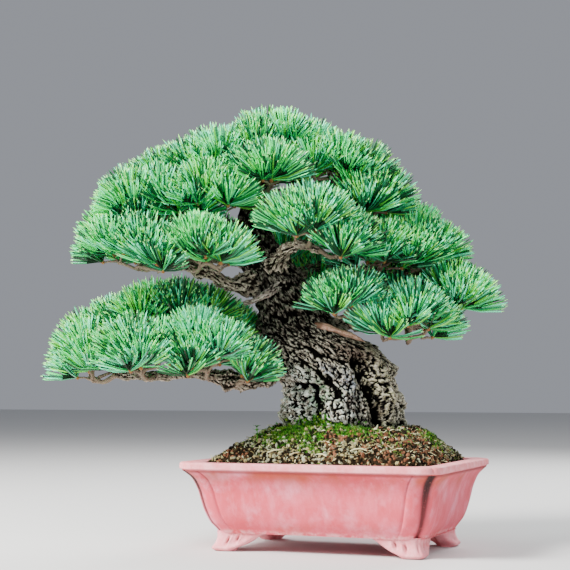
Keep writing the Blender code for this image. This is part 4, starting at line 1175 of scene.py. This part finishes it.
def buildBoughs():
    bark = barkFinish("old bough bark", (0.060, 0.046, 0.033), (0.25, 0.21, 0.155), (0.62, 0.55, 0.43),
                      (0.010, 0.008, 0.005), lichen=False, scale=1.2, blotShare=0.5)
    dead = barkFinish("weathered dead wood", (0.16, 0.125, 0.095), (0.36, 0.30, 0.25),
                      (0.66, 0.60, 0.52), (0.03, 0.022, 0.016), lichen=False, scale=1.5, blotShare=0.3)
    for seed, (name, (bends, thick, thin)) in enumerate(boughs.items(), 20):
        rings, rise, tone = knobblyLimb(bends, thick, thin, seed)
        shadedPits, litCrests = shadedPitsAndLitCrests(rise * limb["pitShare"], limb["finePit"], limb["broadPit"])
        heap = Heap()
        heap.add(*closedSkin(rings))
        finish, slot = (dead, "dead_wood") if name == "dead_stub" else (bark, "bough_bark")
        makePiece(camel(name), heap, [finish], [name],
                  paint={"pit": paintLayer(shadedPits), "crest": paintLayer(litCrests), "tone": paintLayer(tone)})
    print("boughs:", len(boughs))


# Foliage masses by the same rule as the solids: pad, limb and share along it, hub, spread, turn of the
# first twig (degrees), sprays
pads = {"low": ((-142, 4), (80, 66)), "crown": ((-46, 4), (140, 100))}    # middle and half size
masses = {
    "low_tip": ("low", "low_left_limb", 1.0, (-194, -4, 136), (18, 22, 14), 218, 4),
    "low_front": ("low", "low_left_limb", 0.72, (-154, -42, 142), (20, 18, 13), 228, 4),
    "low_middle": ("low", "low_left_limb", 0.40, (-102, -46, 143), (20, 14, 15), 178, 4),
    "low_inner": ("low", "low_left_limb", 0.12, (-74, -39, 137), (0, 0, 0), 0, 1),
    "low_outer": ("low", "low_left_limb", 0.92, (-179, 26, 156), (20, 22, 14), 132, 4),
    "low_crown": ("low", "low_left_limb", 0.62, (-136, 2, 177), (32, 16, 10), 170, 5),
    "low_rear": ("low", "low_left_rear_limb", 1.0, (-134, 46, 158), (30, 20, 16), 90, 5),
    "low_rear_inner": ("low", "low_left_rear_limb", 0.55, (-96, 26, 160), (14, 16, 8), 30, 3),
    "left_front": ("crown", "upper_left_bough", 1.0, (-156, -48, 222), (21, 20, 12), 268, 4),
    "left_near": ("crown", "upper_left_bough", 0.66, (-106, -58, 224), (14, 9, 6), 95, 3),
    "left_tip": ("crown", "left_crown_bough", 1.0, (-159, -8, 244), (17, 26, 16), 350, 5),
    "left_middle": ("crown", "left_crown_bough", 0.80, (-141, -27, 262), (25, 15, 10), 292, 4),
    "left_inner": ("crown", "left_crown_bough", 0.35, (-98, -35, 270), (14, 11, 8), 65, 3),
    "left_top": ("crown", "left_crown_bough", 0.60, (-136, 10, 278), (29, 20, 14), 350, 5),
    "left_rear": ("crown", "rear_left_bough", 1.0, (-146, 50, 247), (28, 24, 16), 40, 5),
    "rear_left_low": ("crown", "rear_left_bough", 0.75, (-108, 78, 236), (26, 18, 12), 160, 5),
    "top_left": ("crown", "trunk", 0.90, (-96, 0, 296), (20, 22, 11), 148, 4),
    "apex": ("crown", "trunk", 1.0, (-50, 2, 314), (26, 22, 8), 170, 5),
    "top_front": ("crown", "trunk", 0.86, (-56, -36, 285), (14, 9, 4), 20, 3),
    "top_right": ("crown", "right_crown_bough", 0.55, (-4, -6, 293), (24, 18, 10), 310, 4),
    "top_rear": ("crown", "trunk", 0.82, (-58, 44, 292), (34, 18, 12), 75, 5),
    "right_shoulder": ("crown", "right_crown_bough", 1.0, (26, -4, 264), (15, 20, 14), 198, 4),
    "front": ("crown", "front_bough", 0.80, (-23, -63, 246), (16, 7, 3), 265, 3),
    "front_tip": ("crown", "front_bough", 1.0, (-1, -55, 231), (10, 6, 4), 290, 2),
    "right_middle": ("crown", "right_bough", 0.70, (34, -21, 226), (14, 14, 6), 270, 3),
    "right_outer": ("crown", "right_bough", 1.0, (67, 2, 223), (15, 22, 13), 198, 4),
    "right_rear": ("crown", "right_bough", 0.62, (43, 50, 244), (26, 20, 14), 120, 5),
    "low_right_inner": ("crown", "low_right_bough", 0.38, (4, -46, 187), (10, 6, 2), 200, 2),
    "low_right_front": ("crown", "low_right_bough", 0.62, (54, -45, 168), (26, 13, 12), 272, 3),
    "low_right_tip": ("crown", "low_right_bough", 1.0, (92, -5, 188), (13, 24, 16), 110, 5),
    "low_right_rear": ("crown", "low_right_bough", 0.50, (62, 42, 194), (24, 20, 14), 50, 5),
    "rear": ("crown", "rear_right_bough", 1.0, (2, 82, 246), (28, 18, 14), 240, 5),
    "rear_middle": ("crown", "rear_right_bough", 0.60, (-48, 84, 226), (22, 16, 12), 10, 4),
    "rear_low": ("crown", "rear_right_bough", 0.35, (-16, 66, 200), (18, 16, 8), 300, 3),
}
growth = {"budShift": 3, "spraySpread": 0.45, "padLean": 0.5, "stemRadius": 2.2, "stemTaper": 0.45,
          "stemSag": 0.12, "stemBelow": 4, "twigRadius": (1.5, 1.0), "twigSpan": (0.62, 0.34),
          "sideShoots": 2, "sideOut": (8, 12), "sideDown": (1, 5), "sideLean": 0.55, "sideSunk": 3,
          "sideRise": 2, "sideRadius": (0.95, 0.8), "twigStep": 2.2, "twigWobble": 0.25,
          "twigAhead": 0.22, "twigEase": 0.25, "twigPast": 2,
          # buds: length and radius of the papery scales, and how far below the needles they start
          "bud": (11.5, 1.6), "budDown": 1.5, "sideBud": (8, 1.25), "sideBudDown": 1}
tuft = {"bundles": 40, "sideBundles": 10, "reach": 37, "reachVaries": (0.92, 1.04), "sideReach": 29,
        "varies": (0.90, 1.0), "shoot": 5, "shootTo": 80, "lowest": 66, "jitter": 2.5, "turnJitter": 0.12,
        "strays": 0.05, "strayBy": 0.2, "level": (-0.04, 0.15), "insideTo": 50, "frontLift": 0.55}
needle = {"perBundle": 5, "halfWidth": 0.66, "rings": (0, 0.45, 0.92), "widths": (0.8, 1.0, 0.9),
          "fan": 0.10, "fanVaries": (0.55, 1.3), "apart": 0.4, "bow": 0.37, "bowVaries": (0.6, 1.25),
          "bowUp": (0.7, 0.3), "bowJitter": 0.08, "leastRise": (-0.08, 0.0), "varies": (0.94, 1.03),
          "longShare": 0.06, "longBy": 1.06}
# Tones of needle: outer side, inner side with its pale band
needleTones = [("deep", (0.003, 0.036, 0.010), (0.014, 0.15, 0.055)),
               ("blue", (0.016, 0.260, 0.105), (0.12, 0.92, 0.54)),
               ("fresh", (0.016, 0.360, 0.060), (0.08, 0.94, 0.27)),
               ("yellow", (0.085, 0.440, 0.026), (0.30, 0.94, 0.13))]
tipColour = (0.38, 0.92, 0.30)
# painted shade for the feet of needles inside a tuft
needleFootShade = (0.003, 0.026, 0.008)
toneMix = [0.33, 0.27, 0.28, 0.12]
mixEvenness = 9    # how alike the mixes of the sprays are


def buds(name):
    pad, _, _, hub, spread, first, sprays = masses[name]
    chance = random.Random(name + "_foliage")
    reaches = random.Random(name + "_foliage cores")
    middle, half = pads[pad]
    lean = [(hub[i] - middle[i]) / half[i] * growth["padLean"] for i in (0, 1)]
    found = []
    for k in range(sprays):
        wayOut = math.sqrt((k + 0.5) / sprays)
        turn = math.radians(first) + k * goldenAngle
        across, back = math.cos(turn) * wayOut, math.sin(turn) * wayOut
        dome = (across, back, 1 - wayOut ** 2)
        bud = [hub[i] + spread[i] * dome[i] + chance.uniform(-growth["budShift"], growth["budShift"])
               for i in range(3)]
        axis = (lean[0] + growth["spraySpread"] * across, lean[1] + growth["spraySpread"] * back, 1.0)
        reach = tuft["reach"] * reaches.uniform(*tuft["reachVaries"])
        reaches.uniform(0, 1)    # the solids' rule also draws a turn here
        found.append((np.array(bud), unit(np.array(axis)), reach))
    return found


def stemBends(name):
    limbName, share, hub = masses[name][1:4]
    start = limbPoint(limbName, share)
    end = np.array(hub, float) - [0, 0, growth["stemBelow"]]
    middle = (start + end) / 2 - [0, 0, growth["stemSag"] * np.linalg.norm(end - start)]
    return [start, middle, end]


def twigBends(name, k, bud, axis):
    first, span = growth["twigSpan"]
    stem = stemBends(name)
    share = first + span * (k + 1) / masses[name][6]
    leave = alongCurve(stem, share)
    ahead = unit(alongCurve(stem, min(share + 0.1, 1.0)) - alongCurve(stem, share - 0.1))
    length = np.linalg.norm(bud - leave)
    ease = growth["twigEase"]
    return [leave, leave + ahead * length * growth["twigAhead"] + (bud - leave) * ease,
            bud - axis * length * ease, bud + axis * growth["twigPast"]]


def sideShoots(bud, axis, rng):
    # shorter shoots that leave a twig just under its bud
    first, second = sidesOf(axis)
    turn = rng.uniform(0, 2 * math.pi)
    found = []
    for _ in range(growth["sideShoots"]):
        out = first * math.cos(turn) + second * math.sin(turn)
        start = bud - axis * rng.uniform(*growth["sideDown"])
        end = start + out * rng.uniform(*growth["sideOut"]) + axis * growth["sideRise"]
        found.append((start - axis * growth["sideSunk"], end, unit(axis + out * growth["sideLean"])))
        turn += math.pi * 0.8 + rng.uniform(-0.4, 0.4)
    return found


def tuftNeedles(bud, axis, bundles, reach, rng):
    # bundles of needles that leave the shoot sideways and curve up into a bowl; none hangs
    i = np.arange(bundles)
    off = np.arccos(1 - (i + 0.5) / bundles * (1 - math.cos(math.radians(tuft["lowest"]))))
    off = off + np.radians(rng.normal(0, tuft["jitter"], bundles))
    off = np.where(rng.uniform(0, 1, bundles) < tuft["strays"], off + tuft["strayBy"], off)
    turn = i * goldenAngle + rng.uniform(0, 2 * math.pi) + rng.normal(0, tuft["turnJitter"], bundles)
    first, second = sidesOf(axis)
    out = np.outer(np.cos(turn), first) + np.outer(np.sin(turn), second)
    ways = axis * np.cos(off)[:, None] + out * np.sin(off)[:, None]
    lowest = rng.uniform(*tuft["level"], bundles) + tuft["frontLift"] * ways[:, 1] ** 2
    ways[:, 2] = np.maximum(ways[:, 2], lowest)
    ways = unit(ways)
    shoot = tuft["shoot"] * reach / tuft["reach"] * (1 - off / math.radians(tuft["shootTo"]))
    bases = bud + axis * np.maximum(shoot, 0)[:, None]
    lengths = reach * rng.uniform(*tuft["varies"], bundles) - np.einsum("ij,ij->i", bases - bud, ways)
    # each bundle's needles fan out round its own way, bow up and differ a little in length
    each = needle["perBundle"]
    firsts, seconds = sidesOf(ways)
    around = 2 * math.pi * np.arange(each) / each + rng.uniform(0, 6, (bundles, 1))
    sideways = (firsts[:, None] * np.cos(around)[..., None] + seconds[:, None] * np.sin(around)[..., None])
    fan = needle["fan"] * rng.uniform(*needle["fanVaries"], (bundles, each, 1))
    directions = unit(ways[:, None] + sideways * fan)
    leastRise = rng.uniform(*needle["leastRise"], directions.shape[:2])
    directions[..., 2] = np.maximum(directions[..., 2], leastRise)
    directions = unit(directions)
    ahead, upward = needle["bowUp"]
    bows = axis * ahead + np.array([0, 0, upward]) + rng.normal(0, needle["bowJitter"], directions.shape)
    bows = bows * (needle["bow"] * np.sin(off))[:, None, None]
    bows = bows * rng.uniform(*needle["bowVaries"], (bundles, each, 1))
    lengths = lengths[:, None] * rng.uniform(*needle["varies"], (bundles, each))
    isLong = rng.uniform(0, 1, (bundles, each)) < needle["longShare"]
    lengths = lengths * np.where(isLong, needle["longBy"], 1.0)
    starts = bases[:, None] + sideways * needle["apart"]
    inside = np.repeat(off < math.radians(tuft["insideTo"]), each)
    flat = [part.reshape(-1, 3) for part in (starts, directions, sideways, bows)]
    return *flat, lengths.reshape(-1), inside


def needleSkins(starts, directions, outs, bows, lengths):
    # three-sided needles: flat towards their bundle's outside, blunt at the tip
    outs = unit(outs - directions * np.einsum("ij,ij->i", outs, directions)[:, None])
    others = np.cross(directions, outs)
    bows = bows - directions * np.einsum("ij,ij->i", bows, directions)[:, None]
    rings = []
    for share, width in zip(needle["rings"], needle["widths"]):
        middle = starts + (directions * share + bows * (share * share - share)) * lengths[:, None]
        for corner in np.radians([60, 180, 300]):
            rings.append(middle + (outs * math.cos(corner) + others * math.sin(corner))
                         * needle["halfWidth"] * width)
    rings.append(starts + directions * lengths[:, None])
    first = (np.arange(len(starts)) * len(rings))[:, None]
    sides = ((0, 1), (1, 2), (2, 0))
    quads = [first + [row + a, row + b, row + 3 + b, row + 3 + a] for row in (0, 3) for a, b in sides]
    tips = [first + [6 + a, 6 + b, 9] for a, b in sides]
    return (np.stack(rings, 1).reshape(-1, 3), np.stack(quads, 1).reshape(-1, 4),
            np.stack(tips, 1).reshape(-1, 3), first + [2, 1, 0])


def addNeedles(heap, bud, axis, bundles, reach, rng):
    # the quads' outer side is the third of each three; needles inside a tuft get painted shade near their
    # feet
    *parts, inside = tuftNeedles(bud, axis, bundles, reach, rng)
    tones = sprayTones(rng, len(inside))
    outer, inner = 2 * tones, 2 * tones + 1
    tip = 2 * len(needleTones)
    shaded = tip + 1
    footInner, footOuter = np.where(inside, shaded, inner), np.where(inside, shaded, outer)
    quadFinish = np.stack([footInner, footInner, footOuter, inner, inner, outer], 1).ravel()
    tipFinish = np.where(np.arange(len(tones)) % 5 < 2, tip, inner)    # two needles in five
    heap.add(*needleSkins(*parts), finish=[quadFinish, np.repeat(tipFinish, 3), footOuter])


def needleFinishes():
    made = []
    for name, outer, inner in needleTones:
        made.append(newFinish(name + " needle", 0.42, outer, 0.5)[0])
        made.append(newFinish(name + " needle band", 0.55, inner, 0.4)[0])
    made.append(newFinish("needle tip", 0.5, tipColour, 0.4)[0])
    made.append(newFinish("shaded needle foot", 0.7, needleFootShade, 0.2)[0])
    return made


def sprayTones(rng, count):
    bias = rng.dirichlet(np.array(toneMix) * mixEvenness)
    return rng.choice(len(needleTones), count, p=bias)


def addBud(heap, start, axis, length, radius):
    # papery scales lapping round the shoot, with a pointed bud at its end
    rows = 9
    t = np.linspace(0, 1, rows)
    path = start + axis * (t * length)[:, None]
    wide = radius * (1 - 0.45 * t) * (1 + 0.22 * (np.arange(rows) % 2))
    wide[-1] = 0.15
    heap.add(*closedSkin(path[:, None] + sweep(path, 7) * wide[:, None, None]))


def growTwig(heap, bends, thick, thin, seed, sides=7):
    length = np.linalg.norm(np.diff(bends, axis=0), axis=1).sum()
    rows = max(int(length / growth["twigStep"]), 5)
    path = alongCurve(bends, np.linspace(0, 1, rows))
    rng = np.random.default_rng(seed)
    path[1:-1] += rng.normal(0, growth["twigWobble"], (rows - 2, 3))
    radius = np.linspace(thick, thin, rows)[:, None] * rng.uniform(0.86, 1.22, (rows, 1))
    ridge = rng.uniform(0.88, 1.12, (rows, sides))
    heap.add(*closedSkin(path[:, None] + sweep(path, sides) * (radius * ridge)[..., None]))


def buildFoliage():
    finishes = needleFinishes()
    twigs, scales = {pad: Heap() for pad in pads}, {pad: Heap() for pad in pads}
    thick = growth["stemRadius"]
    total = 0
    for seed, name in enumerate(masses, 100):
        rng = np.random.default_rng(seed)
        pad = masses[name][0]
        heap = Heap()
        growTwig(twigs[pad], stemBends(name), thick, thick * (1 - growth["stemTaper"]), seed, 9)
        for k, (bud, axis, reach) in enumerate(buds(name)):
            twigSeed = seed * 10 + k
            growTwig(twigs[pad], twigBends(name, k, bud, axis), *growth["twigRadius"], twigSeed)
            addNeedles(heap, bud, axis, tuft["bundles"], reach, rng)
            addBud(scales[pad], bud - axis * growth["budDown"], axis, *growth["bud"])
            for start, end, heading in sideShoots(bud, axis, rng):
                bends = [start, (start + end) / 2 + heading * 0.5, end]
                growTwig(twigs[pad], bends, *growth["sideRadius"], twigSeed, 5)
                addNeedles(heap, end, heading, tuft["sideBundles"], tuft["sideReach"], rng)
                addBud(scales[pad], end - heading * growth["sideBudDown"], heading, *growth["sideBud"])
        makePiece(camel(name) + "Needles", heap, finishes, [name + "_foliage"], smooth=False)
        total += sum(len(f) * (f.shape[1] - 2) for f in heap.faces)
    twigBark = plainFinish("twig bark", (0.20, 0.155, 0.11), 0.85, 0.5, 420)
    scaleFinish = plainFinish("bud scales", (0.27, 0.125, 0.045), 0.7, 0.4, 700)
    for pad in pads:
        makePiece(pad + "PadTwigs", twigs[pad], [twigBark])
        makePiece(pad + "PadBudScales", scales[pad], [scaleFinish], smooth=False)
    print("needles:", total, "triangles; twigs:", sum(faceCount(heap) for heap in twigs.values()), "faces")


setCamera()
setStudio()
buildPot()
buildSoil()
buildTrunk()
buildBareStrip()
buildBoughs()
buildFoliage()
